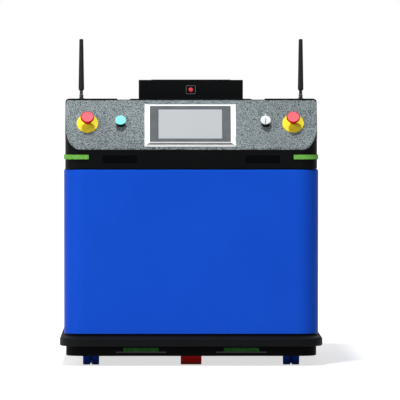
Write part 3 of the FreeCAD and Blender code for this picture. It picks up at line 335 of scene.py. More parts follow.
def powder_coat(name, colour, drift, roughness, peel_mm=5.0, peel_depth_mm=0.05):
    """Powder coating: a drift as long as a sweep of the spray gun, handled patches, orange peel."""
    return layered(name, roughness, {
        "Base Color": {"size_mm": SPRAY_SWEEP_MM, "detail": 3.0, "ends": (0.35, 0.65),
                       "between": (linear(colour), linear(drift))},
        "Roughness": {"size_mm": HANDLING_MM, "detail": 4.0, "offset": (1.7, 0.4, 0.9),
                      "between": either_side(roughness)},
        "Normal": {"size_mm": peel_mm, "depth_mm": peel_depth_mm}})


dress(powder_coat("powder_coated_steel_blue", "#124dc9", "#1450cd", 0.38),
      "front_shell", "rear_shell", "side_panels")
dress(powder_coat("powder_coated_sheet_black", "#101112", "#131415", 0.45, peel_mm=3.0),
      "pedestal_base", "pedestal_box")
dress(powder_coat("powder_coated_tube_grey", "#3a3d40", "#404346", 0.5), "body_frame", "base_plate")
dress(powder_coat("enamelled_motor_case_black", "#17181a", "#1b1c1e", 0.4, 4.0, 0.06),
      "steer_motors", "steer_turrets", *("drive_motor_" + end for end in ENDS))
dress(powder_coat("hard_anodised_plate_black", "#101112", "#131415", 0.36, peel_mm=1.5, peel_depth_mm=0.02),
      "arm_plate")

# %% [markdown]
# ## Vacuum formed housing
# The black upper housing and deck are thick ABS sheet drawn over a mould. The sheet has a
# fine hair-cell grain, which the eye reads as a soft even black with almost no mirror. The
# real grain is under a millimetre long; it is drawn at 2.5 mm, so that it shows from afar.
# %% Vacuum formed ABS
dress(powder_coat("vacuum_formed_abs_black", "#0c0d0e", "#0f1011", 0.42, peel_mm=2.5, peel_depth_mm=0.03),
      "console_housing", "rear_housing", "deck_plate")

# %% [markdown]
# ## Moulded plastics
# Injection moulded parts copy their mould: spark erosion leaves an even fine texture, and
# the melt leaves faint flow marks a few centimetres long. The eye sees the texture as a
# satin gloss and the flow marks as a breath of lighter and darker tone. The real texture
# is a few tenths of a millimetre; it is drawn at 1.6 mm or more, so that it shows at all.
# %% Moulded plastic
FLOW_MARK_MM = 35.0
TOUCH_MM = 6.0


def moulded(name, colour, roughness, texture_mm=1.6, texture_depth_mm=0.03, **sockets):
    """Moulded plastic: faint flow marks, gloss that varies by touch, fine even texture."""
    return layered(name, roughness, {
        "Base Color": {"size_mm": FLOW_MARK_MM, "detail": 3.0,
                       "between": (linear(colour, 0.88), linear(colour, 1.12))},
        "Roughness": {"size_mm": TOUCH_MM, "detail": 3.0, "between": either_side(roughness)},
        "Normal": {"size_mm": texture_mm, "depth_mm": texture_depth_mm}}, **sockets)


dress(moulded("moulded_polypropylene_black", "#040405", 0.6, 2.0, 0.05),
      "front_skirt", "rear_skirt", "side_skirts")
dress(moulded("integral_skin_polyurethane_black", "#0f1112", 0.5, 2.5, 0.08,
              Specular_IOR_Level=0.1), "front_bumper", "rear_bumper")
dress(moulded("smoked_polycarbonate", "#07090a", 0.12, 8.0, 0.004), "camera_units")
dress(moulded("moulded_battery_case_grey", "#303336", 0.55), "battery_pack")
dress(moulded("printed_polyester_overlay_grey", "#62676a", 0.35, 2.0, 0.01), "screen_overlay")
switch_black = moulded("moulded_polyamide_black", "#0f1012", 0.4)
yellow = moulded("moulded_abs_yellow", "#f2e240", 0.32, 3.0, 0.02)
dress(yellow, "estop_discs", *("estop_stem_" + side for side in SIDES))
grey_case = moulded("moulded_case_grey", "#8c8f92", 0.5)
dress(grey_case, "control_electronics")
antenna_black = moulded("moulded_elastomer_black", "#2a2b2c", 0.5)
dress(antenna_black, *("antenna_base_" + side for side in SIDES))

# %% [markdown]
# ## Wrinkle enamel on the control panel
# Wrinkle enamel is baked so that its skin shrinks into short folds, a hard wearing finish
# for control panels. Its colour carries painted light and shade: the pale tops of the folds
# are a painted highlight and the dark valleys a painted shade, and over them lie broad
# patches of painted light and shade, a little lighter and a little darker. Real folds are
# about a millimetre apart; they are drawn at two, so that they show from afar. One noise
# gives both the relief and the painted shade of the folds, so that they agree.
# %% Wrinkle enamel
FOLD_MM = 2.0
PAINTED_LIGHT_PATCH_MM = 420.0


def wrinkle_enamel():
    """Silver grey wrinkle enamel, with painted light on the fold tops, painted shade in the valleys and
    patches of painted light and shade.
    """
    # The fold colour runs from a dark valley to a pale top: painted shade and painted highlight of the folds.
    folds = {"size_mm": FOLD_MM, "detail": 0.5}
    material = layered("wrinkle_enamel_silver_grey", 0.42, {
        "Base Color": {**folds, "between": (linear("#25282b"), linear("#a3afb2")), "ends": (0.36, 0.6)},
        "Normal": {**folds, "depth_mm": 0.3}})
    tree = material.node_tree
    colour = tree.nodes["Principled BSDF"].inputs["Base Color"]
    painted_fold_light_and_shade = colour.links[0].from_socket
    place = add(tree, "TexCoord").outputs["Object"]
    # Broad patches of painted light and shade, placed by this offset, multiply the fold colour.
    moved = add(tree, "Mapping", {"Vector": place, "Location": (0.3, 0.8, 0.1)}).outputs["Vector"]
    patches = add(tree, "TexNoise", {"Vector": moved, "Scale": 1 / (PAINTED_LIGHT_PATCH_MM * MM), "Detail": 1.0})
    painted_light_tone = add(tree, "ValToRGB", {"Fac": patches.outputs["Fac"]}, [(0.35, grey(0.8)), (0.65, grey(1.15))])
    mixed = add(tree, "Mix", {"Factor": 1.0, "A": painted_fold_light_and_shade, "B": painted_light_tone.outputs["Color"]},
                data_type="RGBA", blend_type="MULTIPLY")
    tree.links.new(mixed.outputs["Result"], colour)
    return material


dress(wrinkle_enamel(), "control_panel")

# %% [markdown]
# ## Unlit display
# A display that is off shows its pale backlight film through clear glass: an even, very
# light grey. Only a faint unevenness of the film, two per cent, is left to see.
# %% Display
film = {"size_mm": 70.0, "detail": 1.0, "ends": (0.0, 1.0),
        "between": (linear("#b6babd", 0.98), linear("#b6babd", 1.02))}
dress(layered("unlit_display_glass", 0.18, {"Base Color": film}), "display_unit")

# %% [markdown]
# ## Metals
# Plated and ground metals reflect the room; what tells them apart is how sharply and how
# evenly. Zinc plating is crystalline, a ground gear is scored, chrome is nearly a mirror.
# The gloss wanders at the size of the grain and the colour in larger clouds. The crystals
# and scores are drawn two to three millimetres wide, coarser than real, so that they show.
# %% Bare and plated metal
def metal(name, colour, roughness, grain_mm, depth_mm=0.01):
    """Bare or plated metal: colour in clouds, uneven polish and relief at the size of its grain."""
    return layered(name, roughness, {
        "Base Color": {"size_mm": 6 * grain_mm, "detail": 3.0,
                       "between": (linear(colour, 0.9), linear(colour))},
        "Roughness": {"size_mm": grain_mm, "detail": 3.0, "between": either_side(roughness, 0.2)},
        "Normal": {"size_mm": grain_mm, "depth_mm": depth_mm}}, Metallic=1.0)


zinc = metal("zinc_plated_steel", "#c4c7ca", 0.35, 3.0, 0.02)
dress(zinc, "caster_plates")
dress(metal("hardened_gear_steel", "#8b8e92", 0.3, 2.0),
      *("steer_fork_" + end for end in ENDS), *("steer_pinion_" + end for end in ENDS))
chrome = metal("chrome_plated_brass", "#e4e7e9", 0.2, 12.0, 0.0005)
dress(chrome, "key")
satin_silver = metal("satin_chromed_zinc_casting", "#fcfdfd", 0.2, 60.0, 0.0001)
copper = metal("bare_copper_bar", "#c7794e", 0.3, 2.0)

# %% [markdown]
# ## Cast treads
# The treads are cast polyurethane, a little translucent, so light softens inside them.
# Rolling leaves darker scuffs with dust in them, seven millimetres long.
# %% Cast polyurethane
def elastomer(name, colour):
    """Cast polyurethane tread: slightly translucent, with scuffs from the floor."""
    return layered(name, 0.45, {
        "Base Color": {"size_mm": 7.0, "detail": 5.0, "ends": (0.35, 0.6),
                       "between": (linear(colour, 0.75), linear(colour))},
        "Normal": {"size_mm": 2.5, "detail": 3.0, "depth_mm": 0.04}},
        Subsurface_Weight=0.1, Subsurface_Radius=(0.003, 0.002, 0.002))


caster_blue = elastomer("cast_polyurethane_blue", "#14399a")
drive_red = elastomer("cast_polyurethane_red", "#cc1c1e")
print("treads:", caster_blue.name, "and", drive_red.name)

# %% [markdown]
# ## Lit covers
# Milky acrylic spreads the light of the diodes behind it: a little brighter over each
# diode, a little dimmer between them, with a weak glow of its own. A noise as coarse as
# the diodes are apart is enough for that.
# %% Milky acrylic
def lamp_cover(name, colour, bright, glow, pitch_mm=8.0):
    """Milky acrylic over diodes: brighter spots pitch_mm apart, a glow of its own."""
    spots = {"size_mm": pitch_mm, "detail": 1.0, "between": (linear(colour), linear(bright)),
             "ends": (0.35, 0.65)}
    return layered(name, 0.3, {"Base Color": spots, "Emission Color": spots}, Emission_Strength=glow)


dress(lamp_cover("milky_acrylic_green", "#5f9f3c", "#73b255", 0.12), "corner_lights")
# The sill lamps' dark green is painted shade from the bumper above them.
dress(lamp_cover("green_acrylic_painted_shade", "#173f14", "#225020", 0.05), "sill_lamps")
cyan = lamp_cover("translucent_polycarbonate_cyan", "#6fe8dd", "#98fbf5", 0.3, 4.0)

# %% [markdown]
# ## Surfaces from grids of points
# The pieces that follow are skins over a grid: each row is a closed ring of points, and
# neighbouring rings are joined by four-sided faces. A turned part has circles for rings,
# a frame has rounded rectangles. Rings are worked out for whole arrays of angles at once.
# %% Rings and skins
EDGE_ANGLE = 32


def turned(profile, steps=72, ripple=0.0, ripples=12):
    """Rings of a turned part, one per (radius, height) of the profile: x = r cos a, y = r sin a.

    A third value in the profile says how far the grips, a ripple of the radius, are felt there.
    """
    angle = np.linspace(0, 2 * np.pi, steps, endpoint=False)
    radius, height = profile[:, 0, None], profile[:, 1, None]
    if profile.shape[1] > 2:
        radius = radius - ripple * profile[:, 2, None] * (1 + np.cos(ripples * angle)) / 2
    return np.stack(np.broadcast_arrays(radius * np.cos(angle), radius * np.sin(angle), height), axis=-1)


def framed(rings, corner_steps=8):
    """Rings of a frame, one rounded rectangle per (half width, half length, corner radius, height)."""
    quarter = np.linspace(0, np.pi / 2, corner_steps)
    angle = np.concatenate([quarter + turn * np.pi / 2 for turn in range(4)])
    side_x = np.sign(np.cos(angle.reshape(4, -1).mean(1))).repeat(corner_steps)
    side_y = np.sign(np.sin(angle.reshape(4, -1).mean(1))).repeat(corner_steps)
    half_x, half_y, radius, height = (np.asarray(rings, float)[:, i, None] for i in range(4))
    x = side_x * (half_x - radius) + radius * np.cos(angle)
    y = side_y * (half_y - radius) + radius * np.sin(angle)
    return np.stack(np.broadcast_arrays(x, y, height), axis=-1)


def arc(centre, radius, start_at, end_at, steps=7):
    """Points on an arc between two angles in degrees, as (radius, height) rows."""
    angle = np.radians(np.linspace(start_at, end_at, steps))
    return np.column_stack((centre[0] + radius * np.cos(angle), centre[1] + radius * np.sin(angle)))


def skin(rings, finish=0, hollow=False):
    """Points, faces and finishes of a closed skin over rings; hollow joins the last ring to the first.

    The finish is one number, or one for each step from ring to ring.
    """
    rows, columns = rings.shape[:2]
    steps = rows if hollow else rows - 1
    row, column = np.meshgrid(np.arange(steps), np.arange(columns), indexing="ij")
    above, beside = (row + 1) % rows, (column + 1) % columns
    corners = [line * columns + spot
               for line, spot in ((row, column), (row, beside), (above, beside), (above, column))]
    faces = np.stack(corners, axis=-1).reshape(-1, 4).tolist()
    marks = np.broadcast_to(finish, steps).repeat(columns).tolist()
    if not hollow:
        faces += [list(range(columns))[::-1], list(range((rows - 1) * columns, rows * columns))]
        marks += [marks[0], marks[-1]]
    return rings.reshape(-1, 3), faces, marks


def placed(part, centre=(0.0, 0.0, 0.0), axes=np.eye(3)):
    """The same skin moved to centre, its own directions turned to these axes."""
    points, faces, marks = part
    return (points + np.asarray(centre)) @ axes, faces, marks


def piece(name, skins, finishes, body, replaced=()):
    """One object from several closed skins, facing outward and riding a body."""
    first = np.cumsum([0] + [len(points) for points, _, _ in skins])
    faces = [[start_at + corner for corner in face]
             for start_at, (_, part_faces, _) in zip(first.tolist(), skins) for face in part_faces]
    mesh = bpy.data.meshes.new(name)
    mesh.from_pydata(np.concatenate([points for points, _, _ in skins]).tolist(), [], faces)
    mesh.polygons.foreach_set("material_index", [mark for _, _, marks in skins for mark in marks])
    for material in finishes:
        mesh.materials.append(material)
    shape = bmesh.new()
    shape.from_mesh(mesh)
    bmesh.ops.recalc_face_normals(shape, faces=shape.faces)
    shape.to_mesh(mesh)
    shape.free()
    mesh.polygons.foreach_set("use_smooth", [True] * len(mesh.polygons))
    mesh.set_sharp_from_angle(angle=math.radians(EDGE_ANGLE))
    made = bpy.data.objects.new(name, mesh)
    bpy.context.scene.collection.objects.link(made)
    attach(made, body)
    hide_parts(*replaced)
    print(name, "has", len(mesh.polygons), "faces")


print("a turned ring has", turned(np.array([[1.0, 0.0]])).shape[1], "points")

# %% [markdown]
# ## The sloping panel as a workbench
# Everything on the console is drawn flat, in the directions of the panel: across, up the
# slope, and out of it. The way out is the axis that the key turns on. Sizes come from the
# CAD nodes, measured along those directions.
# %% Panel directions
outward = np.array(joints["key_turn"]["axis"])
across = np.array([1.0, 0.0, 0.0])
bench = np.array([across, np.cross(outward, across), outward])


def extent(node, axes=bench):
    """Lowest and highest coordinates of a CAD node along these axes."""
    vertices = nodes[node].data.vertices
    points = np.empty(len(vertices) * 3)
    vertices.foreach_get("co", points)
    local = points.reshape(-1, 3) @ axes.T
    return local.min(0), local.max(0)


panel_top = extent("control_panel")[1][2]
print("panel leans back by", round(math.degrees(math.asin(outward[2])), 1), "degrees")

# %% [markdown]
# ## Emergency stop heads
# A head is turned to open the stop, so it flares from a slim neck to a wide rim with
# shallow grips. Its crown is dished a little and painted a paler red than the sides: a
# painted highlight of the light from above. The head could be a plain cylinder; the flare is
# what makes it read as a mushroom. Its neck hangs a little lower than the CAD head, round
# the stem, and it stays inside the CAD head's radius.
# %% Mushroom heads
HEAD_DROP = 5.0 * MM
HEAD_MARGIN = 0.5 * MM
NECK_RADIUS = 9.0 * MM
RIM_EDGE = 2.8 * MM
FLARE_HEIGHT = 0.84
FLARE_POWER = 1.1
CROWN_DISH = 0.7 * MM
GRIP_DEPTH = 0.35 * MM
red = moulded("moulded_polycarbonate_red", "#bc1412", 0.34, 3.0, 0.02)
# The crown's paler red is a painted highlight of the light from above.
crown_painted_highlight = moulded("polycarbonate_red_painted_highlight", "#ec7079", 0.3, 6.0, 0.01)


def mushroom(radius, height):
    """Neck, flare, gripped rim and dished crown of a head, and how many steps come before the crown.

    The flare widens as s to the power 1.1; the crown sinks as 1 - r squared.
    """
    share = np.linspace(0, 1, 12)
    widening = NECK_RADIUS + (radius - NECK_RADIUS) * share ** FLARE_POWER
    flare = np.column_stack((widening, FLARE_HEIGHT * height * share, share ** 3))
    corner = arc((radius - RIM_EDGE, height - RIM_EDGE), RIM_EDGE, 0, 90)
    rim = np.column_stack((corner, np.cos(np.linspace(0, np.pi / 2, len(corner)))))
    inwards = np.linspace(0.96, 0.1, 10)
    sunk = height - CROWN_DISH * (1 - inwards ** 2)
    crown = np.column_stack(((radius - RIM_EDGE) * inwards, sunk, 0 * inwards))
    return np.vstack((flare, rim, crown)), len(flare) + len(rim) - 1


for side in SIDES:
    node = "estop_head_" + side
    lowest, highest = extent(node)
    radius = (highest[0] - lowest[0]) / 2 - HEAD_MARGIN
    height = highest[2] - lowest[2] + HEAD_DROP
    profile, before_crown = mushroom(radius, height)
    # Steps from the crown on take the paler red, the painted highlight.
    finish = (np.arange(len(profile) - 1) >= before_crown).astype(int)
    centre = (*((lowest + highest) / 2)[:2], lowest[2] - HEAD_DROP)
    head = placed(skin(turned(profile, 96, GRIP_DEPTH), finish), centre, bench)
    piece("mushroom_head_" + side, [head], (red, crown_painted_highlight), node, (node,))

# %% [markdown]
# ## Barrels under the heads
# Under each head a threaded barrel passes through the panel and clamps the yellow disc
# with a low collar. When the head is pushed it stops just above the collar. A turned part
# again: barrel, collar on the disc, and the bore that the stem slides in.
# %% Stop barrels
BARREL_RADIUS = 11.0 * MM
CLAMP_RADIUS = 12.0 * MM
CLAMP_HEIGHT = 0.7 * MM
STEM_BORE = 7.2 * MM


def barrel_section(low_z, disc_z, edge=0.2 * MM):
    """Section of barrel and collar, from the barrel's foot up the outside and down the bore."""
    top_z = disc_z + CLAMP_HEIGHT
    return np.array([[STEM_BORE, low_z], [BARREL_RADIUS, low_z], [BARREL_RADIUS, disc_z],
                     [CLAMP_RADIUS, disc_z], [CLAMP_RADIUS, top_z - edge],
                     [CLAMP_RADIUS - edge, top_z], [STEM_BORE, top_z]])


disc_low, disc_high = extent("estop_discs")
switch_row = (disc_low[1] + disc_high[1]) / 2
section = barrel_section(extent("estop_bodies")[0][2], disc_high[2])
barrels = []
for side in SIDES:
    lowest, highest = extent("estop_stem_" + side)
    centre = ((lowest[0] + highest[0]) / 2, switch_row, 0.0)
    barrels.append(placed(skin(turned(section), 0, True), centre, bench))
piece("estop_barrels", barrels, (yellow,), "chassis", ("estop_bodies",))

# %% [markdown]
# ## Screen frame
# The screen sits in a cast frame with satin chrome: four sloping sides that meet in
# mitres, a small upright step at the foot and a rounded lip at the glass. The slopes swell
# a little, as cast ones do, so that each one shades from edge to edge instead of lying
# flat. The rings of the frame are rounded rectangles, from the foot over the lip.
# %% Cast frame
FRAME_FOOT = 2.0 * MM
FRAME_LIP = 1.4 * MM
FRAME_SWELL = 1.0 * MM
FRAME_CORNER = 2.0 * MM
GLASS_GAP = 0.3 * MM


def frame_rings(half, inner, rise):
    """Rings from the foot of the frame over its swelling slope and lip and down to the glass.

    The slope runs straight from foot to lip, plus the swell times the sine of pi s.
    """
    share = np.linspace(0, 1, 9)
    reach = np.asarray(half) + np.outer(share, np.asarray(inner) + FRAME_LIP - half)
    height = FRAME_FOOT + (rise - FRAME_FOOT) * share + FRAME_SWELL * np.sin(np.pi * share)
    slope = np.column_stack((reach, np.full(9, FRAME_CORNER), height))
    lip = [(inner[0] + 0.3 * FRAME_LIP, inner[1] + 0.3 * FRAME_LIP, 1.5 * MM, rise + 0.2 * FRAME_LIP),
           (*inner, 1.0 * MM, rise - 0.4 * FRAME_LIP), (*inner, 1.0 * MM, 0.0)]
    return framed(np.vstack(([(*half, FRAME_CORNER, 0.0)], slope, lip)))


lowest, highest = extent("screen_bezel")
glass_low, glass_high = extent("screen_overlay")
half = (highest - lowest)[:2] / 2
inner = (glass_high - glass_low)[:2] / 2 + GLASS_GAP
rings = frame_rings(half, inner, highest[2] - lowest[2] - 0.3 * MM)
centre = (*((lowest + highest) / 2)[:2], lowest[2])
piece("cast_screen_frame", [placed(skin(rings, 0, True), centre, bench)], (satin_silver,),
      "chassis", ("screen_bezel",))
print("screen frame", [round(value / MM) for value in 2 * half], "mm")

# %% [markdown]
# ## Start button
# The start button and its ring are one bright cyan disc, lit from behind. The ring is
# turned, with a rounded outer lip; the lens stands inside it and swells into a low dome,
# so that its middle looks a little brighter than its rim. Both switches stand on a black
# collar that flares towards the ring, so the ring throws its own shade on the collar.
# %% Ring and lens of the start button
RING_RADIUS = 14.4 * MM
RING_HEIGHT = 3.0 * MM
RING_PLAY = 0.15 * MM
LENS_DOME = 1.5 * MM
COLLAR_FOOT, COLLAR_TOP = 11.6 * MM, 14.2 * MM


def switch_ring(bore, lip):
    """Section of a switch ring: rounded outer lip, then a slight slope down to the bore."""
    corner = arc((RING_RADIUS - lip, RING_HEIGHT - lip), lip, 0, 90)
    return np.vstack(([[bore, 0.0], [RING_RADIUS, 0.0]], corner, [[bore, RING_HEIGHT - 0.4 * lip]]))


def dome(radius, low_z, edge_z, rise):
    """Lens section: straight wall, then a crown that falls away as 1 - r squared."""
    inwards = np.linspace(1.0, 0.05, 12)
    crown = np.column_stack((radius * inwards, edge_z + rise * (1 - inwards ** 2)))
    return np.vstack(([[radius, low_z]], crown))


def flared_collar(bore, low_z, panel_z, top_z):
    """Section of a switch body: barrel, collar that flares as s squared, bore."""
    share = np.linspace(0, 1, 9)
    flare = np.column_stack((COLLAR_FOOT + (COLLAR_TOP - COLLAR_FOOT) * share ** 2,
                             panel_z + (top_z - panel_z) * share))
    barrel = [[bore, low_z], [BARREL_RADIUS, low_z], [BARREL_RADIUS, panel_z]]
    return np.vstack((barrel, flare, [[bore, top_z]]))


body_low, body_high = extent("switch_bodies")
ring_z = body_high[2]
key_low, key_high = extent("key")
key_x = (key_low[0] + key_high[0]) / 2
lens_low, lens_high = extent("start_lens")
start_x = (lens_low[0] + lens_high[0]) / 2
lens_radius = (lens_high[0] - lens_low[0]) / 2
body = flared_collar(lens_radius + RING_PLAY, body_low[2], panel_top, ring_z)
bodies = [placed(skin(turned(body), 0, True), (x, switch_row, 0.0), bench) for x in (start_x, key_x)]
piece("switch_collars", bodies, (switch_black,), "chassis", ("switch_bodies",))
ring = skin(turned(switch_ring(lens_radius + RING_PLAY, 1.2 * MM)), 0, True)
ring = placed(ring, (start_x, switch_row, ring_z), bench)
piece("start_button_ring", [ring], (cyan,), "chassis")
lens = skin(turned(dome(lens_radius, lens_low[2], lens_high[2] - LENS_DOME, LENS_DOME)))
lens = placed(lens, (start_x, switch_row, 0.0), bench)
piece("start_button_lens", [lens], (cyan,), "start_lens", ("start_lens",))

# %% [markdown]
# ## Key switch and antenna studs
# The key switch has a polished ring that falls towards the barrel, so it mirrors the
# ceiling. Each antenna stands on a threaded stud held by a hexagon nut; a turned ring with
# only six points is a hexagon.
# %% Key ring and studs
KEY_BORE = 9.15 * MM
ring = skin(turned(switch_ring(KEY_BORE, 0.8 * MM)), 0, True)
ring = placed(ring, (key_x, switch_row, ring_z), bench)
piece("key_switch_ring", [ring], (chrome,), "chassis", ("panel_fittings",))

nut = np.array([[6.6, 0.0], [7.1, 0.3], [7.1, 1.3], [6.6, 1.5]]) * MM
stud = np.array([[3.2, 0.0], [3.2, 6.6], [2.8, 7.0]]) * MM
studs = []
for side in SIDES:
    foot = joints["antenna_swivel_" + side]["pos_m"]
    studs += [placed(skin(turned(nut, 6)), foot), placed(skin(turned(stud, 32)), foot)]
piece("antenna_studs", studs, (zinc,), "chassis")

# %% [markdown]
# ## Red indicator
# The indicator on the pedestal is a small black plate with a bright rim and a red lens.
# Drawn flat on the pedestal's face: across, up, and out towards the operator. The lens
# glows faintly, which makes it read as lit.
# %% Indicator
RIM_WIDTH = 1.0 * MM
PLATE_CORNER = 4.0 * MM
INDICATOR_LENS = 6.3 * MM
front_face = np.array([[1.0, 0.0, 0.0], [0.0, 0.0, 1.0], [0.0, -1.0, 0.0]])
lowest, highest = extent("beacon", front_face)
half_x, half_y = (highest - lowest)[:2] / 2
within = (half_x - RIM_WIDTH, half_y - RIM_WIDTH, PLATE_CORNER - RIM_WIDTH)
plate = framed([(*within, 0.0), (*within, 0.9 * MM)])
edge = framed([(*within, 0.0), (half_x, half_y, PLATE_CORNER, 0.0), (half_x, half_y, PLATE_CORNER, 1.0 * MM),
               (half_x - 0.4 * RIM_WIDTH, half_y - 0.4 * RIM_WIDTH, PLATE_CORNER, 1.5 * MM),
               (*within, 1.0 * MM)])
lens = turned(dome(INDICATOR_LENS, 0.9 * MM, 1.9 * MM, 1.6 * MM))
centre = (*((lowest + highest) / 2)[:2], lowest[2])
indicator_red = lamp_cover("tinted_polycarbonate_red", "#c8323a", "#e0565c", 0.25, 5.0)
skins = [placed(part, centre, front_face) for part in (skin(plate), skin(edge, 1, True), skin(lens, 2))]
piece("pedestal_indicator", skins, (switch_black, grey_case, indicator_red),
      "chassis", ("beacon",))

# %% [markdown]
# ## Antennas
# A folding antenna is a tapered sleeve of soft elastomer over the radiator, pinned in its
# foot by a flat tongue. The sleeve swells from the neck in an S, runs straight for seven
# millimetres and tapers to a rounded tip. A plated ring is pressed on the foot.
# %% Antenna sleeves and rings
SLEEVE_NECK, SLEEVE_ROOT, SLEEVE_TIP = 4.4 * MM, 7.8 * MM, 5.6 * MM
SLEEVE_FOOT = 21.0 * MM
TONGUE_HALF = 4.25 * MM
TONGUE_CORNER = 4.2 * MM
TONGUE_HALF_THICK = 1.6 * MM


def sleeve(length, swell=5.0 * MM, straight=12.0 * MM, edge=3.0 * MM):
    """Section of the sleeve: cosine swell, straight root, even taper, rounded tip."""
    share = np.linspace(0, 1, 9)
    widening = SLEEVE_NECK + (SLEEVE_ROOT - SLEEVE_NECK) * (1 - np.cos(np.pi * share)) / 2
    taper = np.linspace([SLEEVE_ROOT, straight], [SLEEVE_TIP, length - edge], 12)
    tip = arc((SLEEVE_TIP - edge, length - edge), edge, 0, 90)[1:]
    return np.vstack((np.column_stack((widening, swell * share)), taper, tip))


side_view = np.array([[0.0, 1.0, 0.0], [0.0, 0.0, 1.0], [1.0, 0.0, 0.0]])
press_ring = np.array([[5.3, 6.0], [5.9, 6.2], [5.9, 7.6], [5.3, 7.8]]) * MM
for side in SIDES:
    node = "antenna_blade_" + side
    foot = np.array(joints["antenna_swivel_" + side]["pos_m"])
    pin = np.array(joints["antenna_fold_" + side]["pos_m"])
    start_z = foot[2] + SLEEVE_FOOT
    section = sleeve(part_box(node)[1].z - start_z)
    tongue_top = start_z + 1.0 * MM
    reach = (tongue_top - pin[2] + TONGUE_HALF) / 2
    tongue = framed([(TONGUE_HALF, reach, TONGUE_CORNER, z) for z in (-TONGUE_HALF_THICK, TONGUE_HALF_THICK)])
    skins = [placed(skin(turned(section, 48)), (foot[0], foot[1], start_z)),
             placed(skin(tongue), (pin[1], tongue_top - reach, pin[0]), side_view)]
    piece("antenna_sleeve_" + side, skins, (antenna_black,), node, (node,))
    ring = placed(skin(turned(press_ring, 48), 0, True), foot)
    piece("antenna_ring_" + side, [ring], (chrome,), "antenna_base_" + side)

# %% [markdown]
# ## Caster wheels
# Twin casters have a moulded core with a cast tread. Seen from the side, the core is a
# shallow dish round a boss, and the tread stands round it with softly broken edges. Both
# are one turned skin whose steps carry two finishes, core and tread. Between the two
# wheels the moulded fork ends in a round web, which keeps threads off the axle.
# %% Caster wheels
HALF_GAP = 2.0 * MM
CORE_SHARE = 0.8
TREAD_EDGE = 1.2 * MM
AXLE_RADIUS = 5.0 * MM
WEB_HALF = 1.5 * MM
WEB_INSET = 4.0 * MM
WHEEL_PLAY = 0.01 * MM


def rolled(section, core_radius):
    """Skin of a wheel that turns about X; steps inside core_radius get the second finish."""
    middle_radius = (section[1:, 0] + section[:-1, 0]) / 2
    return skin(turned(section, 96), (middle_radius < core_radius).astype(int))


def caster_section(radius, outer):
    """Half of a twin wheel: inner face, tread with broken edges, dish and boss."""
    core = CORE_SHARE * radius
    boss = 0.12 * radius
    inner_edge = arc((radius - TREAD_EDGE, HALF_GAP + TREAD_EDGE), TREAD_EDGE, -90, 0)
    outer_edge = arc((radius - TREAD_EDGE, outer - TREAD_EDGE), TREAD_EDGE, 0, 90)
    dish = [[core, outer], [core - TREAD_EDGE, outer - 3.0 * MM], [0.4 * radius, outer - 3.5 * MM],
            [0.34 * radius, outer - 0.5 * MM], [boss, outer - 0.5 * MM]]
    return np.vstack(([[boss, HALF_GAP], [core, HALF_GAP]], inner_edge, outer_edge, dish))


core_navy = moulded("moulded_polyamide_navy", "#0a1638", 0.45)
dress(core_navy, *("caster_fork_" + end + "_" + side for end in ENDS for side in SIDES))
axle_half = HALF_GAP + MM
axle = skin(turned(np.array([[AXLE_RADIUS, -axle_half], [AXLE_RADIUS, axle_half]]), 32), 1)
for corner in (end + "_" + side for end in ENDS for side in SIDES):
    node = "caster_wheels_" + corner
    lowest, highest = extent(node, side_view)
    centre = (lowest + highest) / 2
    radius = (highest[0] - lowest[0]) / 2 - WHEEL_PLAY
    outer = (highest[2] - lowest[2]) / 2
    wheel = rolled(caster_section(radius, outer), (CORE_SHARE - 0.01) * radius)
    mirrored = (wheel[0] * (1, 1, -1), *wheel[1:])
    skins = [placed(part, centre, side_view) for part in (wheel, mirrored, axle)]
    piece("twin_wheels_" + corner, skins, (caster_blue, core_navy), node, (node,))
    web = np.array([[radius - WEB_INSET, -WEB_HALF], [radius - WEB_INSET, WEB_HALF]])
    web = placed(skin(turned(web, 96)), centre, side_view)
    piece("caster_web_" + corner, [web], (core_navy,), "caster_swivel_" + corner)

# %% [markdown]
# ## Brows over the sill notches
# Under each sill lamp the skirt is notched, and a slanted brow closes the notch behind.
# It leans towards the pale floor, and its grey is painted light from the floor, a shade
# lighter than the black skirt. A plate would do in metal; here it is a moulded wedge with
# slanted ends like the notch.
# %% Notch brows
def brow_rings(half, slant, face_y, depth, low_z, high_z):
    """Two end sections of a wedge whose half width shrinks by slant from its foot to its top."""
    corners = np.array([[face_y, high_z], [face_y + depth, low_z], [face_y + depth + 0.3 * MM, high_z]])
    reach = half - slant * (corners[:, 1] - low_z) / (high_z - low_z)
    return np.stack([np.column_stack((end * reach, corners)) for end in (-1, 1)])


SILL_LAMP_WIDTH = 98.0 * MM
BROW_HALF, BROW_SLANT, BROW_DEPTH = 72.5 * MM, 2.2 * MM, 2.6 * MM
skirt_low = extent("front_skirt", np.eye(3))[0]
lamp_low, lamp_high = extent("sill_lamps", np.eye(3))
notch_x = lamp_high[0] - SILL_LAMP_WIDTH / 2
rings = brow_rings(BROW_HALF, BROW_SLANT, skirt_low[1] + 0.02 * MM, BROW_DEPTH,
                   lamp_low[2] - 3.6 * MM, lamp_low[2] - 0.1 * MM)
# The brow's grey is painted light: the floor's light on black plastic, painted into its colour.
brow_painted_floor_light = moulded("moulded_polypropylene_painted_floor_light", "#3a3b3c", 0.6, 2.0, 0.05)
brows = [placed(skin(rings), (x, 0.0, 0.0)) for x in (-notch_x, notch_x)]
piece("notch_brows", brows, (brow_painted_floor_light,), "chassis")

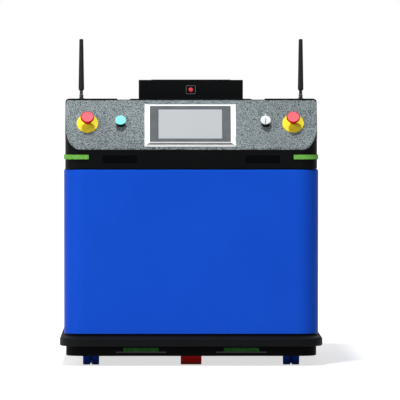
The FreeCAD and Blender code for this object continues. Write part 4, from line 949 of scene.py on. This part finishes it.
# %% [markdown]
# ## Charging contacts
# At the back two copper bars stand on an insulating pad, where a charging dock reaches
# them. The CAD node is one solid, so one skin for the pad and one for each bar let each
# take its own finish. The bars have rounded ends, as bars that springs slide over do.
# %% Pad and bars
BAR_HALF_LONG = 65.0 * MM
BAR_HALF_HIGH = 7.0 * MM
BAR_DEPTH = 5.0 * MM
BAR_OFFSET = 14.0 * MM
PAD_CORNER = 3.0 * MM
PAD_BEVEL = 2.0 * MM
rear_face = np.array([[-1.0, 0.0, 0.0], [0.0, 0.0, 1.0], [0.0, 1.0, 0.0]])
lowest, highest = extent("charge_contacts", rear_face)
half_x, half_y = (highest - lowest)[:2] / 2
bar_top = highest[2] - lowest[2]
pad_top = bar_top - BAR_DEPTH
bevel = ((0.0, pad_top - PAD_BEVEL), (0.3 * PAD_BEVEL, pad_top - 0.3 * PAD_BEVEL), (PAD_BEVEL, pad_top))
pad = framed([(half_x - inset, half_y - inset, PAD_CORNER, z) for inset, z in ((0.0, 0.0), *bevel)])
bar = framed([(BAR_HALF_LONG, BAR_HALF_HIGH, 6.0 * MM, pad_top - MM),
              (BAR_HALF_LONG, BAR_HALF_HIGH, 6.0 * MM, bar_top - MM),
              (BAR_HALF_LONG - MM, BAR_HALF_HIGH - MM, 5.0 * MM, bar_top)])
centre = (*((lowest + highest) / 2)[:2], lowest[2])
skins = [placed(skin(pad), centre, rear_face)]
skins += [placed(skin(bar, 1), np.add(centre, (0.0, offset, 0.0)), rear_face)
          for offset in (-BAR_OFFSET, BAR_OFFSET)]
piece("charging_pad", skins, (switch_black, copper), "chassis", ("charge_contacts",))

# %% [markdown]
# ## Drive wheels
# A drive wheel has a cast iron hub bolted to the gearbox flange and a thick red tread
# bonded to its rim. The web lies back from the rim, with a ring of hexagon screws in it.
# %% Drive wheels
TREAD_THICK = 16.0 * MM
HUB_WEB = 20.0 * MM
DRIVE_EDGE = 2.0 * MM
SCREWS = 6


def drive_section(radius, half):
    """Whole wheel from the left face of the hub over the tread to the right face."""
    rim = radius - TREAD_THICK
    corner = arc((radius - DRIVE_EDGE, half - DRIVE_EDGE), DRIVE_EDGE, 0, 90)
    right = np.vstack((corner, [[rim, half], [rim - 7.0 * MM, half - 1.0 * MM], [rim - 10.0 * MM, HUB_WEB],
                                [0.36 * radius, HUB_WEB], [0.33 * radius, half], [0.14 * radius, half]]))
    left = right[::-1] * (1, -1)
    return np.vstack((left, right))


hub_iron = powder_coat("painted_cast_iron_grey", "#4a4d50", "#55585c", 0.5, 2.0, 0.08)
screw = np.array([[6.5, -1.0], [6.5, 4.2], [5.9, 5.0]]) * MM
for end in ENDS:
    node = "drive_wheel_" + end
    lowest, highest = extent(node, side_view)
    centre = (lowest + highest) / 2
    radius = (highest[0] - lowest[0]) / 2 - WHEEL_PLAY
    wheel = rolled(drive_section(radius, (highest[2] - lowest[2]) / 2), radius - TREAD_THICK - 0.1 * MM)
    skins = [placed(wheel, centre, side_view)]
    for angle in np.arange(SCREWS) * 2 * np.pi / SCREWS:
        spot = np.array([math.cos(angle), math.sin(angle), 0.0]) * 0.52 * radius
        for face in (-1, 1):
            points, faces, marks = skin(turned(screw, 6), 2)
            head = (points * (1, 1, face) + spot + (0, 0, face * HUB_WEB), faces, marks)
            skins.append(placed(head, centre, side_view))
    piece("bolted_wheel_" + end, skins, (drive_red, hub_iron, zinc), node, (node,))

undressed = [name for name, node in nodes.items() if not node.hide_render and not node.data.materials]
print("nodes without a finish:", undressed)
